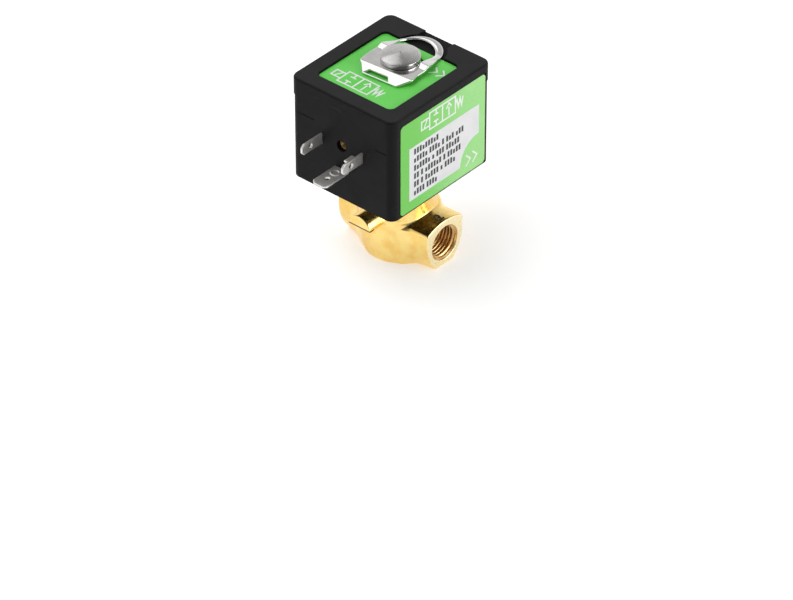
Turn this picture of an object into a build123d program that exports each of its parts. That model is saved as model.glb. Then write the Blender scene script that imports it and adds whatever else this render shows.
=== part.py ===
"""Direct-acting two-way solenoid valve with a clip-on coil.

Frame: X runs through both ports, the outlet at +X; -Y is the side of the plug terminals; Z is up.
The origin is on the axis of the core tube, at the flat underside of the brass body. Millimetres.
"""

import math
import os

from build123d import *

# ---- Brass body -------------------------------------------------------------------------------
port_span = 40.3  # face to face, along X
port_axis_z = 9.2
port_half_width = 9.3
port_corner_rise = 7.0  # from the port axis to the top corners of the port face
port_crown_rise = 8.8  # from the port axis to the crown of the port face
port_side_drop = 3.0  # from the port axis to where the sides of the face turn in
port_sole_half = 4.2  # half width of the flat under the port face
port_root_x = 9.0  # where the port bosses have widened into the belly
port_root_half = 11.2
port_root_sole = 8.6
port_thread_r = 5.7225  # G1/4 minor radius
port_thread_major_r = 6.5785  # G1/4 major radius
port_thread_depth = 10.4
port_edge_r = 3.6
passage_r = 2.6
feed_r = 1.8
feed_x = -6.0
orifice_r = 2.25
seat_r = 3.5
seat_lip = 0.6
seat_z = 17.0
chamber_floor_z = 15.2
chamber_r = 8.5
gland_floor_z = 20.8
gland_r = 10.1
turret_r = 12.7
turret_top_z = 28.5
belly_r = 14.2
belly_waist_z = 8.0  # where the belly is widest
belly_sole_r = 12.2
belly_top_z = 18.0
belly_shoulder_r = 3.9
belly_edge_r = 1.0
port_arch_r = 7.0  # hollow under each port boss, between the belly and the port face
port_arch_x = 14.6
port_arch_rise = 1.2
lug_r = 5.0
lug_axis_z = 17.9
lug_flat_z = 18.9
lug_edge_r = 0.6
lug_reach = 21.5  # from the tube axis to the face of the lug
mount_hole_spacing = 17.0
mount_hole_r = 1.65  # tapping size of M4
mount_hole_depth = 6.0

# ---- Solenoid base: nut, tube, fixed core ------------------------------------------------------
o_ring_section = 1.5
tube_outer_r = 7.1
tube_wall = 0.5
tube_flange_r = 9.7
tube_flange_thickness = 1.3
nut_flats = 22.0
nut_hex_height = 4.3
nut_bore_clearance = 0.15
thread_clearance = 0.05
plug_fit = 0.02
head_r = 6.95
head_thickness = 1.65
head_chamfer = 0.45
head_crown = 1.0  # rise of the turned cone to its centre
head_dimple_r = 0.5
neck_r = 5.6
neck_clearance = 0.1  # above and below the clip plate in the groove
shoulder_r = 6.9
shading_inner_r = 4.2
shading_width = 0.9
shading_depth = 1.6
washer_inner_r = 7.5
washer_land = 0.2  # the nut's flats stand out beyond the washer
washer_sheet = 0.4
washer_gap = 0.1

# ---- Moving core --------------------------------------------------------------------------------
stroke = 1.6
stop_gap = 0.1
seat_gap = 0.05
core_clearance = 0.1
core_foot_r = 7.8
core_foot_lift = 0.3  # the disc stands out of the foot by this much
core_foot_thickness = 1.3
core_length = 36.0
disc_r = 4.3
disc_thickness = 2.0
spring_wire_r = 0.3
spring_turns = 2.5
spring_end_gap = 0.05

# ---- Coil housing -------------------------------------------------------------------------------
coil_z = 34.3  # underside of the coil above the foot of the body
housing_width = 45.0
housing_front = 30.0  # from the tube axis to the terminal face
housing_back = 20.4  # from the tube axis to the rear face
housing_height = 40.1
housing_corner_r = 3.0
housing_edge_r = 0.9
cap_band_height = 7.0
cap_band_proud = 0.3
bore_clearance = 0.3
label_recess_depth = 1.1
label_recess_gap = 0.25
label_corner_r = 2.0
notch_half = 6.5
notch_loop_gap = 1.0  # round the clip's loop
seam_z = 26.4  # above the underside of the coil
seam_width = 0.3
seam_depth = 0.25
seam_spans = ((-21.6, -12.0), (15.0, 20.0))

# ---- Labels -------------------------------------------------------------------------------------
top_label_half_width = 16.5
top_label_front = 23.8
top_label_back = 11.0
top_label_sheet = 0.2
top_label_hole_r = 8.0
side_label_front = 26.0
side_label_back = 17.4
side_label_low = 0.6  # above the underside of the coil
side_label_drop = 3.5  # below the top of the housing
side_label_sheet = 0.15
side_label_corner_r = 1.6

# ---- Magnet and winding -------------------------------------------------------------------------
yoke_low = 2.4  # above the underside of the coil
yoke_cover = 3.5  # moulding between the yoke and the top of the housing
yoke_sheet = 2.6
yoke_width = 26.0
yoke_half_span = 17.2
bobbin_flange_r = 13.8
bobbin_flange = 1.4
bobbin_tube_r = 9.4
winding_r = 12.9
sleeve_wall = 1.0
sleeve_length = 9.0

# ---- Terminals ----------------------------------------------------------------------------------
blade_spacing = 18.0
blade_height = 4.2
blade_sheet = 0.8
blade_reach = 10.2  # in front of the housing
blade_root = 7.0  # inside the housing
blade_low = 18.5  # above the underside of the coil
blade_tip_chamfer = 1.2
blade_hole_r = 0.85
blade_hole_reach = 5.9
tab_start = 3.0
tab_length = 4.1
tab_width = 1.4
earth_low = 11.4
earth_width = 6.3
earth_reach = 12.1
earth_hole_reach = 7.3
earth_emboss_r = 1.9
earth_emboss_inner_r = 1.1
earth_emboss_height = 0.25
earth_emboss_reach = 3.1
earth_leg_gap = 0.4  # between the earth strip and the winding
screw_z = 21.3  # above the underside of the coil
screw_mouth_r = 2.15
screw_mouth_depth = 1.6
insert_r = 2.5
insert_length = 8.0
insert_thread_r = 1.25  # M3 minor radius
lead_r = 0.35

# ---- Retaining clip -----------------------------------------------------------------------------
clip_turn = 4.5  # degrees, seen from above
clip_sheet = 0.8
clip_rise = 1.1  # plate's upper face above the top of the housing
clip_half_width = 10.85
clip_front = 7.9
clip_step_start = 0.4
clip_step_run = 1.8
clip_step_rise = 0.9
clip_bend_y = 11.6
clip_loop_drop = 0.05  # loop's upper face below the top of the housing
clip_loop_y = 8.9
clip_loop_r = 9.0
clip_shoulder_y = 3.4  # where the straight sides turn in towards the loop
clip_eye_y = 7.6
clip_eye_r = 7.5
clip_slot_half = 5.95
clip_eye_neck_half = 7.3
clip_foot_run = 3.4
clip_foot_taper = 3.6
clip_foot_gap = 0.05
clip_window_top_half = 3.2
clip_window_low_half = 5.0
clip_window_margin = 1.3

# ---- Derived places -----------------------------------------------------------------------------
port_face_x = port_span / 2
port_depth_x = port_face_x - port_thread_depth
flange_low_z = gland_floor_z + o_ring_section
flange_top_z = flange_low_z + tube_flange_thickness
tube_inner_r = tube_outer_r - tube_wall
nut_top_z = turret_top_z + nut_hex_height
washer_outer_r = nut_flats / 2 - washer_land
core_low_z = seat_z + seat_gap
core_foot_z = core_low_z + core_foot_lift
core_foot_top_z = core_foot_z + core_foot_thickness
core_r = tube_inner_r - core_clearance
core_top_z = core_low_z + core_length
plug_low_z = core_top_z + stroke + stop_gap
housing_top_z = coil_z + housing_height
yoke_low_z = coil_z + yoke_low
yoke_high_z = housing_top_z - yoke_cover
label_floor_z = housing_top_z - label_recess_depth
label_top_z = label_floor_z + top_label_sheet
side_label_high_z = housing_top_z - side_label_drop
clip_top_z = housing_top_z + clip_rise
clip_low_z = clip_top_z - clip_sheet
head_low_z = clip_top_z + neck_clearance
head_top_z = head_low_z + head_thickness
shoulder_z = clip_low_z - neck_clearance
coil_bore_r = tube_outer_r + bore_clearance
face_x = housing_width / 2
bobbin_low_z = yoke_low_z + yoke_sheet
bobbin_high_z = yoke_high_z - yoke_sheet
sleeve_outer_r = coil_bore_r + sleeve_wall
blade_x = blade_spacing / 2
clip_loop_end = clip_loop_y + clip_loop_r
loop_low_z = housing_top_z - clip_loop_drop - clip_sheet


def cylinder(radius, low, high):
    """A round bar on the tube axis between two heights."""
    return Pos(0, 0, low) * Cylinder(radius, high - low, align=(Align.CENTER, Align.CENTER, Align.MIN))


def ring(outer, inner, low, high):
    """A round tube on the tube axis between two heights."""
    return cylinder(outer, low, high) - cylinder(inner, low, high)


def bar(x_low, x_high, y_low, y_high, z_low, z_high):
    """A box between its low and high corners."""
    size = (x_high - x_low, y_high - y_low, z_high - z_low)
    return Pos(x_low, y_low, z_low) * Box(*size, align=(Align.MIN, Align.MIN, Align.MIN))


def along_x(radius, x_low, x_high, z):
    """A round bar parallel to X in the plane of the ports."""
    return Pos(x_low, 0, z) * Rot(0, 90, 0) * Cylinder(
        radius, x_high - x_low, align=(Align.CENTER, Align.CENTER, Align.MIN)
    )


def along_y(radius, x, y_low, y_high, z):
    """A round bar parallel to Y."""
    return Pos(x, y_low, z) * Rot(-90, 0, 0) * Cylinder(
        radius, y_high - y_low, align=(Align.CENTER, Align.CENTER, Align.MIN)
    )


def rounded_plate(x_low, x_high, y_low, y_high, z_low, z_high, radius):
    """A box with rounded vertical edges."""
    plate = bar(x_low, x_high, y_low, y_high, z_low, z_high)
    return fillet(plate.edges().filter_by(Axis.Z), radius)


# ---- Brass body ---------------------------------------------------------------------------------
def port_section(x, side_half, turn_half, turn_drop, sole_half, edge_r):
    """The outline of a port boss at one x: arched top, upright sides, corners cut off below."""
    corner = (side_half, port_corner_rise)
    crown = (0, port_crown_rise)
    with BuildSketch(Plane(origin=(x, 0, port_axis_z), x_dir=(0, 1, 0), z_dir=(1, 0, 0))) as section:
        with BuildLine():
            ThreePointArc((-corner[0], corner[1]), crown, corner)
            Polyline(
                corner,
                (turn_half, -turn_drop),
                (sole_half, -port_axis_z),
                (-sole_half, -port_axis_z),
                (-turn_half, -turn_drop),
                (-corner[0], corner[1]),
            )
        make_face()
        lower = [v for v in section.vertices() if v.Z < port_axis_z]
        fillet(lower, edge_r)
    return section.sketch


def port_boss(side):
    """One port boss, widening from its face to the turret."""
    face = port_section(
        side * port_face_x, port_half_width, port_half_width, port_side_drop, port_sole_half, port_edge_r
    )
    root = port_section(
        side * port_root_x, port_half_width, port_root_half, port_side_drop, port_root_sole, port_edge_r / 2
    )
    core_block = port_section(
        0, port_half_width, port_root_half, port_side_drop, port_root_sole, port_edge_r / 2
    )
    reach = extrude(core_block, amount=side * port_root_x)
    return loft([root, face], ruled=True) + reach


def make_belly():
    """The round middle of the body, widest a little above its flat sole."""
    with BuildPart() as belly:
        with BuildSketch(Plane.XZ):
            with BuildLine():
                Line((0, belly_top_z), (0, 0))
                Line((0, 0), (belly_sole_r, 0))
                TangentArc((belly_r, belly_waist_z), (belly_sole_r, 0), tangent=(0, -1))
                Line((belly_r, belly_waist_z), (belly_r, belly_top_z))
                Line((belly_r, belly_top_z), (0, belly_top_z))
            make_face()
        revolve(axis=Axis.Z)
    belly = fillet(belly.part.edges().group_by(Axis.Z)[0], belly_edge_r)
    return fillet(belly.edges().group_by(Axis.Z)[-1], belly_shoulder_r)


def make_lug():
    """The flat-bottomed round lug on the -Y side."""
    lug = along_y(lug_r, 0, -lug_reach, 0, lug_axis_z)
    lug = fillet(lug.edges().group_by(Axis.Y)[0], lug_edge_r)
    return lug & bar(-lug_r, lug_r, -lug_reach, 0, lug_flat_z, lug_axis_z + lug_r)


def make_valve_body():
    """The forged brass body with both ports, the seat, the chamber and the gland for the tube."""
    turret = make_belly() + cylinder(turret_r, belly_waist_z, turret_top_z)
    body = turret + port_boss(1) + port_boss(-1) + make_lug()
    for side in (-1, 1):
        arch_z = port_arch_rise - port_arch_r
        body -= along_y(port_arch_r, side * port_arch_x, -belly_r, belly_r, arch_z)
    body -= cylinder(chamber_r, chamber_floor_z, turret_top_z)
    body -= cylinder(gland_r, gland_floor_z, turret_top_z)
    body += ring(seat_r, orifice_r, chamber_floor_z, seat_z)
    body += cylinder(orifice_r + seat_lip, chamber_floor_z, seat_z)
    body -= cylinder(orifice_r, port_axis_z, seat_z)
    body -= along_x(passage_r, 0, port_face_x, port_axis_z)
    body -= along_x(passage_r, -port_face_x, feed_x, port_axis_z)
    body -= Pos(feed_x, 0, 0) * cylinder(feed_r, port_axis_z, chamber_floor_z)
    mouth = port_thread_major_r - port_thread_r
    for side in (-1, 1):
        inner, outer = sorted((side * port_depth_x, side * port_face_x))
        body -= along_x(port_thread_r, inner, outer, port_axis_z)
        funnel = Pos(side * port_face_x, 0, port_axis_z) * Rot(0, -90 * side, 0) * Cone(
            port_thread_major_r, port_thread_r, mouth, align=(Align.CENTER, Align.CENTER, Align.MIN)
        )
        body -= funnel
    for y in (-mount_hole_spacing / 2, mount_hole_spacing / 2):
        body -= Pos(0, y, 0) * cylinder(mount_hole_r, 0, mount_hole_depth)
    return body


# ---- Solenoid base ------------------------------------------------------------------------------
def make_core_tube():
    """The thin tube that the coil slips over, with the flange that the nut clamps."""
    return ring(tube_outer_r, tube_inner_r, flange_low_z, label_floor_z) + ring(
        tube_flange_r, tube_inner_r, flange_low_z, flange_top_z
    )


def make_base_nut():
    """The hexagon nut that screws into the turret and clamps the tube's flange."""
    bore_r = tube_outer_r + nut_bore_clearance
    hexagon = extrude(
        Plane.XY.offset(turret_top_z) * RegularPolygon(nut_flats / 2, 6, major_radius=False),
        amount=nut_hex_height,
    )
    hexagon = hexagon & cylinder(nut_flats / 2 * 1.12, turret_top_z, nut_top_z)
    thread = cylinder(gland_r - thread_clearance, flange_top_z, turret_top_z)
    return hexagon + thread - cylinder(bore_r, flange_top_z, nut_top_z)


def make_body_o_ring():
    """The seal between the tube's flange and the body."""
    centre_r = gland_r - o_ring_section / 2
    return Pos(0, 0, gland_floor_z + o_ring_section / 2) * Torus(centre_r, o_ring_section / 2)


def make_spring_washer():
    """The dished washer that presses the coil up against its clip."""
    low = nut_top_z
    high = coil_z - washer_gap
    with BuildPart() as washer:
        with BuildSketch(Plane.XZ):
            Polygon(
                (washer_inner_r, high - washer_sheet),
                (washer_inner_r, high),
                (washer_outer_r, low + washer_sheet),
                (washer_outer_r, low),
                align=None,
            )
        revolve(axis=Axis.Z)
    return washer.part


def make_fixed_core():
    """The stopper of the tube: it seals the top and carries the grooved head for the clip."""
    plug = cylinder(tube_inner_r - plug_fit, plug_low_z, label_floor_z)
    plug += cylinder(shoulder_r, label_floor_z, shoulder_z)
    plug += cylinder(neck_r, shoulder_z, head_low_z)
    head = cylinder(head_r, head_low_z, head_top_z)
    head = chamfer(head.edges().group_by(Axis.Z)[-1], head_chamfer)
    head += Pos(0, 0, head_top_z) * Cone(
        head_r - head_chamfer, head_dimple_r, head_crown, align=(Align.CENTER, Align.CENTER, Align.MIN)
    )
    head -= Pos(0, 0, head_top_z + head_crown) * Sphere(head_dimple_r)
    groove = ring(shading_inner_r + shading_width, shading_inner_r, plug_low_z, plug_low_z + shading_depth)
    return plug + head - groove


def make_shading_ring():
    """The copper ring let into the pole face, which stops the hum on alternating current."""
    return ring(shading_inner_r + shading_width, shading_inner_r, plug_low_z, plug_low_z + shading_depth)


# ---- Moving core --------------------------------------------------------------------------------
def make_core():
    """The plunger, with its foot for the spring and the pocket for the seat disc."""
    core = cylinder(core_r, core_foot_z, core_top_z)
    core = chamfer(core.edges().group_by(Axis.Z)[-1], core_clearance * 4)
    core += cylinder(core_foot_r, core_foot_z, core_foot_top_z)
    return core - cylinder(disc_r, core_low_z, core_low_z + disc_thickness)


def make_core_disc():
    """The rubber disc that closes the seat."""
    return cylinder(disc_r, core_low_z, core_low_z + disc_thickness)


def make_core_spring():
    """The coil spring between the core's foot and the tube's flange."""
    low = core_foot_top_z + spring_wire_r + spring_end_gap
    high = flange_low_z - spring_wire_r - spring_end_gap
    middle_r = (core_r + core_foot_r) / 2
    path = Pos(0, 0, low) * Helix((high - low) / spring_turns, high - low, middle_r)
    section = Plane(origin=path @ 0, z_dir=path % 0) * Circle(spring_wire_r)
    return sweep(section, path=path, is_frenet=True)


# ---- Coil ---------------------------------------------------------------------------------------
def magnet_space():
    """The room that the moulding leaves for the yoke, the winding and the tube."""
    space = yoke_strap()
    space += cylinder(bobbin_flange_r, bobbin_low_z, bobbin_high_z)
    return space + cylinder(coil_bore_r, coil_z, label_floor_z)


def yoke_strap():
    """The closed iron frame round the winding, without its bore."""
    half = yoke_half_span
    depth = yoke_width / 2
    outer = bar(-half, half, -depth, depth, yoke_low_z, yoke_high_z)
    inner = bar(yoke_sheet - half, half - yoke_sheet, -depth, depth, bobbin_low_z, bobbin_high_z)
    return outer - inner


def make_coil_housing():
    """The black moulding, with the label recess, the notch behind it and the seats of the inserts."""
    top_z = housing_top_z
    block = rounded_plate(
        -face_x, face_x, -housing_front, housing_back, coil_z, top_z - cap_band_height, housing_corner_r
    )
    proud = cap_band_proud
    cap = rounded_plate(
        -face_x - proud,
        face_x + proud,
        -housing_front - proud,
        housing_back + proud,
        top_z - cap_band_height,
        top_z,
        housing_corner_r + proud,
    )
    cap = fillet(cap.faces().sort_by(Axis.Z)[-1].edges(), housing_edge_r)
    housing = block + cap
    housing -= bar(
        face_x,
        face_x + proud,
        -side_label_front - label_recess_gap,
        side_label_back + label_recess_gap,
        coil_z,
        side_label_high_z + label_recess_gap,
    )
    housing -= rounded_plate(
        -top_label_half_width - label_recess_gap,
        top_label_half_width + label_recess_gap,
        -top_label_front - label_recess_gap,
        top_label_back + label_recess_gap,
        label_floor_z,
        top_z,
        label_corner_r + label_recess_gap,
    )
    housing -= rear_notch()
    for start, end in seam_spans:
        seam_low = coil_z + seam_z
        housing -= bar(
            start, end, -housing_front, seam_depth - housing_front, seam_low, seam_low + seam_width
        )
    housing -= magnet_space()
    housing -= make_power_terminal(-1) + make_power_terminal(1) + make_ground_terminal()
    screw_height = coil_z + screw_z
    mouth_end = screw_mouth_depth - housing_front
    housing -= along_y(screw_mouth_r, 0, -housing_front, mouth_end, screw_height)
    housing -= along_y(insert_r, 0, mouth_end, mouth_end + insert_length, screw_height)
    for side in (-1, 1):
        housing -= lead(side)
    return housing


def rear_notch():
    """The gap in the rear rim: round where the clip's loop lies, straight where a tool reaches it."""
    far = housing_back + cap_band_proud
    loop_room = Pos(0, clip_loop_y, 0) * cylinder(clip_loop_r + notch_loop_gap, label_floor_z, housing_top_z)
    loop_room &= bar(-face_x, face_x, top_label_back, far, label_floor_z, housing_top_z)
    return loop_room + bar(-notch_half, notch_half, top_label_back, far, label_floor_z, housing_top_z)


def make_bobbin():
    """The spool with its two flanges."""
    bobbin = ring(bobbin_tube_r, sleeve_outer_r, bobbin_low_z, bobbin_high_z)
    bobbin += ring(bobbin_flange_r, sleeve_outer_r, bobbin_low_z, bobbin_low_z + bobbin_flange)
    return bobbin + ring(bobbin_flange_r, sleeve_outer_r, bobbin_high_z - bobbin_flange, bobbin_high_z)


def make_winding():
    """The copper winding between the flanges."""
    return ring(winding_r, bobbin_tube_r, bobbin_low_z + bobbin_flange, bobbin_high_z - bobbin_flange)


def make_winding_cover():
    """The tape round the winding."""
    return ring(bobbin_flange_r, winding_r, bobbin_low_z + bobbin_flange, bobbin_high_z - bobbin_flange)


def make_yoke():
    """The iron frame with the bore for the tube."""
    return yoke_strap() - cylinder(coil_bore_r, coil_z, housing_top_z)


def make_sleeve(low, high):
    """A soft-iron sleeve that closes the magnetic gap at one end of the winding."""
    return ring(sleeve_outer_r, coil_bore_r, low, high)


def blade_profile(width, reach):
    """A flat blade in plan, from its root in the housing to its chamfered tip, lying along -Y."""
    half = width / 2
    root = blade_root - housing_front
    tip = -housing_front - reach
    return Polygon(
        (-half, root),
        (half, root),
        (half, tip + blade_tip_chamfer),
        (half - blade_tip_chamfer, tip),
        (blade_tip_chamfer - half, tip),
        (-half, tip + blade_tip_chamfer),
        align=None,
    )


def make_power_terminal(side):
    """An upright plug blade; the one at +X has a small tab folded over from its top edge."""
    low = coil_z + blade_low
    blade = extrude(blade_profile(blade_height, blade_reach), amount=blade_sheet, dir=(0, 0, 1))
    blade -= Pos(0, -housing_front - blade_hole_reach, 0) * cylinder(blade_hole_r, 0, blade_sheet)
    upright = Pos(side * blade_x + blade_sheet / 2, 0, low + blade_height / 2) * Rot(0, -90, 0) * blade
    if side < 0:
        return upright
    tab_far = -housing_front - tab_start
    tab_x = blade_x - blade_sheet / 2
    top = low + blade_height
    return upright + bar(
        tab_x - tab_width, tab_x, tab_far - tab_length, tab_far, top - blade_sheet, top
    )


def make_ground_terminal():
    """The flat earth blade, cranked down to the yoke inside, with an embossed ring near its root."""
    low = coil_z + earth_low
    half = earth_width / 2
    leg_back = -bobbin_flange_r - earth_leg_gap
    leg_front = leg_back - blade_sheet
    foot_high = bobbin_low_z - earth_leg_gap
    plate = extrude(blade_profile(earth_width, earth_reach), amount=blade_sheet, dir=(0, 0, 1))
    blade = Pos(0, 0, low) * plate
    blade += bar(-half, half, blade_root - housing_front, leg_back, low, low + blade_sheet)
    blade += bar(-half, half, leg_front, leg_back, yoke_low_z, low)
    blade += bar(-half, half, leg_front, -yoke_width / 2, yoke_low_z, foot_high)
    blade -= Pos(0, -housing_front - earth_hole_reach, low) * cylinder(blade_hole_r, 0, blade_sheet)
    emboss = ring(
        earth_emboss_r, earth_emboss_inner_r, low + blade_sheet, low + blade_sheet + earth_emboss_height
    )
    return blade + Pos(0, -housing_front - earth_emboss_reach, 0) * emboss


def make_screw_insert():
    """The threaded brass bush for the plug's fixing screw."""
    start = screw_mouth_depth - housing_front
    height = coil_z + screw_z
    bush = along_y(insert_r, 0, start, start + insert_length, height)
    return bush - along_y(insert_thread_r, 0, start, start + insert_length, height)


def lead(side):
    """A wire from the root of a power blade to the winding."""
    start = Vector(side * blade_x, blade_root - housing_front, coil_z + blade_low + blade_height / 2)
    reach = math.sqrt(bobbin_flange_r**2 - (blade_x - lead_r) ** 2)
    return along_y(lead_r, start.X, start.Y, -reach, start.Z)


def make_winding_leads():
    """Both wires between the winding and the power blades."""
    return Compound(children=[lead(-1), lead(1)])


def make_top_label():
    """The label in the recess of the top face, with a hole for the tube."""
    label = rounded_plate(
        -top_label_half_width,
        top_label_half_width,
        -top_label_front,
        top_label_back,
        label_floor_z,
        label_top_z,
        label_corner_r,
    )
    return label - cylinder(top_label_hole_r, label_floor_z, label_top_z)


def make_side_label():
    """The rating label on the +X face."""
    label = bar(
        face_x,
        face_x + side_label_sheet,
        -side_label_front,
        side_label_back,
        coil_z + side_label_low,
        side_label_high_z,
    )
    return fillet(label.edges().filter_by(Axis.X), side_label_corner_r)


# ---- Retaining clip -----------------------------------------------------------------------------
def clip_strip():
    """The clip seen from the side: foot, plate, step, falling arms and loop, as wide as the plate."""
    step_end = clip_step_start + clip_step_run
    upper = clip_low_z + clip_step_rise
    foot_z = label_top_z + clip_foot_gap
    underside = [
        (-clip_front - clip_foot_run, foot_z),
        (-clip_front, clip_low_z),
        (clip_step_start, clip_low_z),
        (step_end, upper),
        (clip_bend_y, loop_low_z),
        (clip_loop_end, loop_low_z),
    ]
    topside = [(y, z + clip_sheet) for y, z in reversed(underside)]
    with BuildPart() as strip:
        with BuildSketch(Plane.YZ.offset(-clip_half_width)):
            Polygon(*underside, *topside, align=None)
        extrude(amount=2 * clip_half_width)
    return strip.part


def clip_outline():
    """The clip seen from above: tapered foot with its window, straight sides, round loop, keyhole."""
    toe = -clip_front - clip_foot_run
    toe_half = clip_half_width - clip_foot_taper
    sill = -clip_front - clip_window_margin
    with BuildPart() as outline:
        with BuildSketch(Plane.XY.offset(label_top_z)):
            Polygon(
                (-toe_half, toe),
                (toe_half, toe),
                (clip_half_width, -clip_front),
                (clip_half_width, clip_shoulder_y),
                (clip_loop_r, clip_loop_y),
                (-clip_loop_r, clip_loop_y),
                (-clip_half_width, clip_shoulder_y),
                (-clip_half_width, -clip_front),
                align=None,
            )
            with Locations((0, clip_loop_y)):
                Circle(clip_loop_r)
            with Locations((0, clip_eye_y)):
                Circle(clip_eye_r, mode=Mode.SUBTRACT)
            Circle(clip_slot_half, mode=Mode.SUBTRACT)
            with Locations((0, clip_step_start / 2)):
                Rectangle(2 * clip_slot_half, clip_step_start, mode=Mode.SUBTRACT)
            with Locations((0, (clip_step_start + clip_eye_y) / 2)):
                Rectangle(2 * clip_eye_neck_half, clip_eye_y - clip_step_start, mode=Mode.SUBTRACT)
            Polygon(
                (-clip_window_low_half, toe),
                (clip_window_low_half, toe),
                (clip_window_top_half, sill),
                (-clip_window_top_half, sill),
                align=None,
                mode=Mode.SUBTRACT,
            )
        extrude(amount=head_top_z - label_top_z)
    return outline.part


def make_retaining_clip():
    """The spring clip that holds the coil down on the tube."""
    return Rot(0, 0, clip_turn) * (clip_strip() & clip_outline())


NODES = {
    "valve_body": make_valve_body,
    "core_tube": make_core_tube,
    "base_nut": make_base_nut,
    "body_o_ring": make_body_o_ring,
    "spring_washer": make_spring_washer,
    "fixed_core": make_fixed_core,
    "shading_ring": make_shading_ring,
    "core": make_core,
    "core_disc": make_core_disc,
    "core_spring": make_core_spring,
    "coil_housing": make_coil_housing,
    "bobbin": make_bobbin,
    "winding": make_winding,
    "winding_tape": make_winding_cover,
    "yoke": make_yoke,
    "lower_sleeve": lambda: make_sleeve(bobbin_low_z, bobbin_low_z + sleeve_length),
    "upper_sleeve": lambda: make_sleeve(bobbin_high_z - sleeve_length, bobbin_high_z),
    "power_terminal_left": lambda: make_power_terminal(-1),
    "power_terminal_right": lambda: make_power_terminal(1),
    "ground_terminal": make_ground_terminal,
    "screw_insert": make_screw_insert,
    "winding_leads": make_winding_leads,
    "top_label": make_top_label,
    "side_label": make_side_label,
    "retaining_clip": make_retaining_clip,
}

os.makedirs("parts", exist_ok=True)
for node, make in NODES.items():
    export_step(make(), f"parts/{node}.step")
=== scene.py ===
"""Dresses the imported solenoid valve: meshes, finishes, studio and camera.

Lengths in the classes are millimetres in the frame of the part: X through both ports, the outlet
at +X, -Y the side of the plug blades, Z up, and the origin at the flat sole on the tube's axis.
"""

import logging
import math
from collections.abc import Callable, Sequence
from dataclasses import dataclass
from enum import Enum
from typing import Any

import bmesh
import bpy
import numpy as np
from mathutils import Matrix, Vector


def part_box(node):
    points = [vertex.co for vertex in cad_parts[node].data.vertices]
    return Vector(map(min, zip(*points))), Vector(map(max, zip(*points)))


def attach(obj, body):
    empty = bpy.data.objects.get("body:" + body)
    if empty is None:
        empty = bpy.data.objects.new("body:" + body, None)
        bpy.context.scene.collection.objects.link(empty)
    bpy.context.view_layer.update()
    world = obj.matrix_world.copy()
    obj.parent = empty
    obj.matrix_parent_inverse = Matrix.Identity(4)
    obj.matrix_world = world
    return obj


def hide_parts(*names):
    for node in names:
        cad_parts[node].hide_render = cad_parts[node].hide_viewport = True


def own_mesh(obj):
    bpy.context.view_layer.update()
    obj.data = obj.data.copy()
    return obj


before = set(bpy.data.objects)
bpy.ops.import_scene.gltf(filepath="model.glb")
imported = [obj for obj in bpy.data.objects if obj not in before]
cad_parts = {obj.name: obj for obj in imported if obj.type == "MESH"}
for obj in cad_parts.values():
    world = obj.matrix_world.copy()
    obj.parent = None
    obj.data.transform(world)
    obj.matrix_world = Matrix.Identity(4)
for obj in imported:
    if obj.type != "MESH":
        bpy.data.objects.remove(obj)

LOG = logging.getLogger("solenoid_valve")
MM = 0.001

# Metres: vertices nearer than this become one, in a built mesh and in a copy of a CAD node, and
# edges shorter than the last one go.
WELD = 1e-7
WELD_CAD = 1e-6
SHORTEST_EDGE = 1e-8

# Degrees: flatter edges of a CAD copy are dissolved, and steeper ones get a bevel.
FLAT_DEGREES = 0.3
BEVEL_DEGREES = 32

# How a net's vertices slide on to the surface: the rounds, the sampling step and the longest push
# in cells, and the least squared slope.
SLIDE_ROUNDS = 3
SLOPE_STEP = 0.02
LONGEST_PUSH = 0.4
SLOPE_FLOOR = 0.2

# The band of a noise's values that a gloss follows; below and above it the gloss stays even.
NOISE_BAND = (0.3, 0.7)

Array = np.ndarray
Shape = tuple[Array, Array]
Field = Callable[[Array], Array]
Colour = tuple[float, float, float]
Socket = bpy.types.NodeSocket


class Body(Enum):
    """The bodies that pieces ride on."""

    VALVE = "valve"
    PLUNGER = "plunger"
    COIL = "coil"
    CLIP = "clip"


class Side(Enum):
    """The two ends of the body and of the plug, by the sign of X."""

    LEFT = -1
    RIGHT = 1


class Axis(Enum):
    """The two axes that round shapes are turned about."""

    PORTS = "X"
    TUBE = "Z"


# ---- Distance fields ----------------------------------------------------------------------------
def rounded_union(a: Array, b: Array, radius: float | Array) -> Array:
    """Joins two fields with a hollow fillet.

    Where both fields are under the radius, the distance from the corner (radius, radius) gives a
    quarter circle between them; elsewhere the nearer field holds.

    Args:
        a: Signed distances to the first shape.
        b: Signed distances to the second shape.
        radius: Radius of the fillet.

    Returns:
        Signed distances to the joined shape.
    """
    corner = np.hypot(np.maximum(radius - a, 0.0), np.maximum(radius - b, 0.0))
    return np.maximum(radius, np.minimum(a, b)) - corner


def rounded_common(a: Array, b: Array, radius: float | Array) -> Array:
    """Keeps what two fields share, with its new edge rounded.

    Args:
        a: Signed distances to the first shape.
        b: Signed distances to the second shape.
        radius: Radius of the rounded edge.

    Returns:
        Signed distances to the shared shape.
    """
    return -rounded_union(-a, -b, radius)


def rounded_cut(a: Array, tool: Array, radius: float) -> Array:
    """Takes the tool's shape out of the first one and rounds the edge that this leaves.

    Args:
        a: Signed distances to the shape.
        tool: Signed distances to the tool.
        radius: Radius of the rounded edge.

    Returns:
        Signed distances to what is left.
    """
    return rounded_common(a, -tool, radius)


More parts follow.
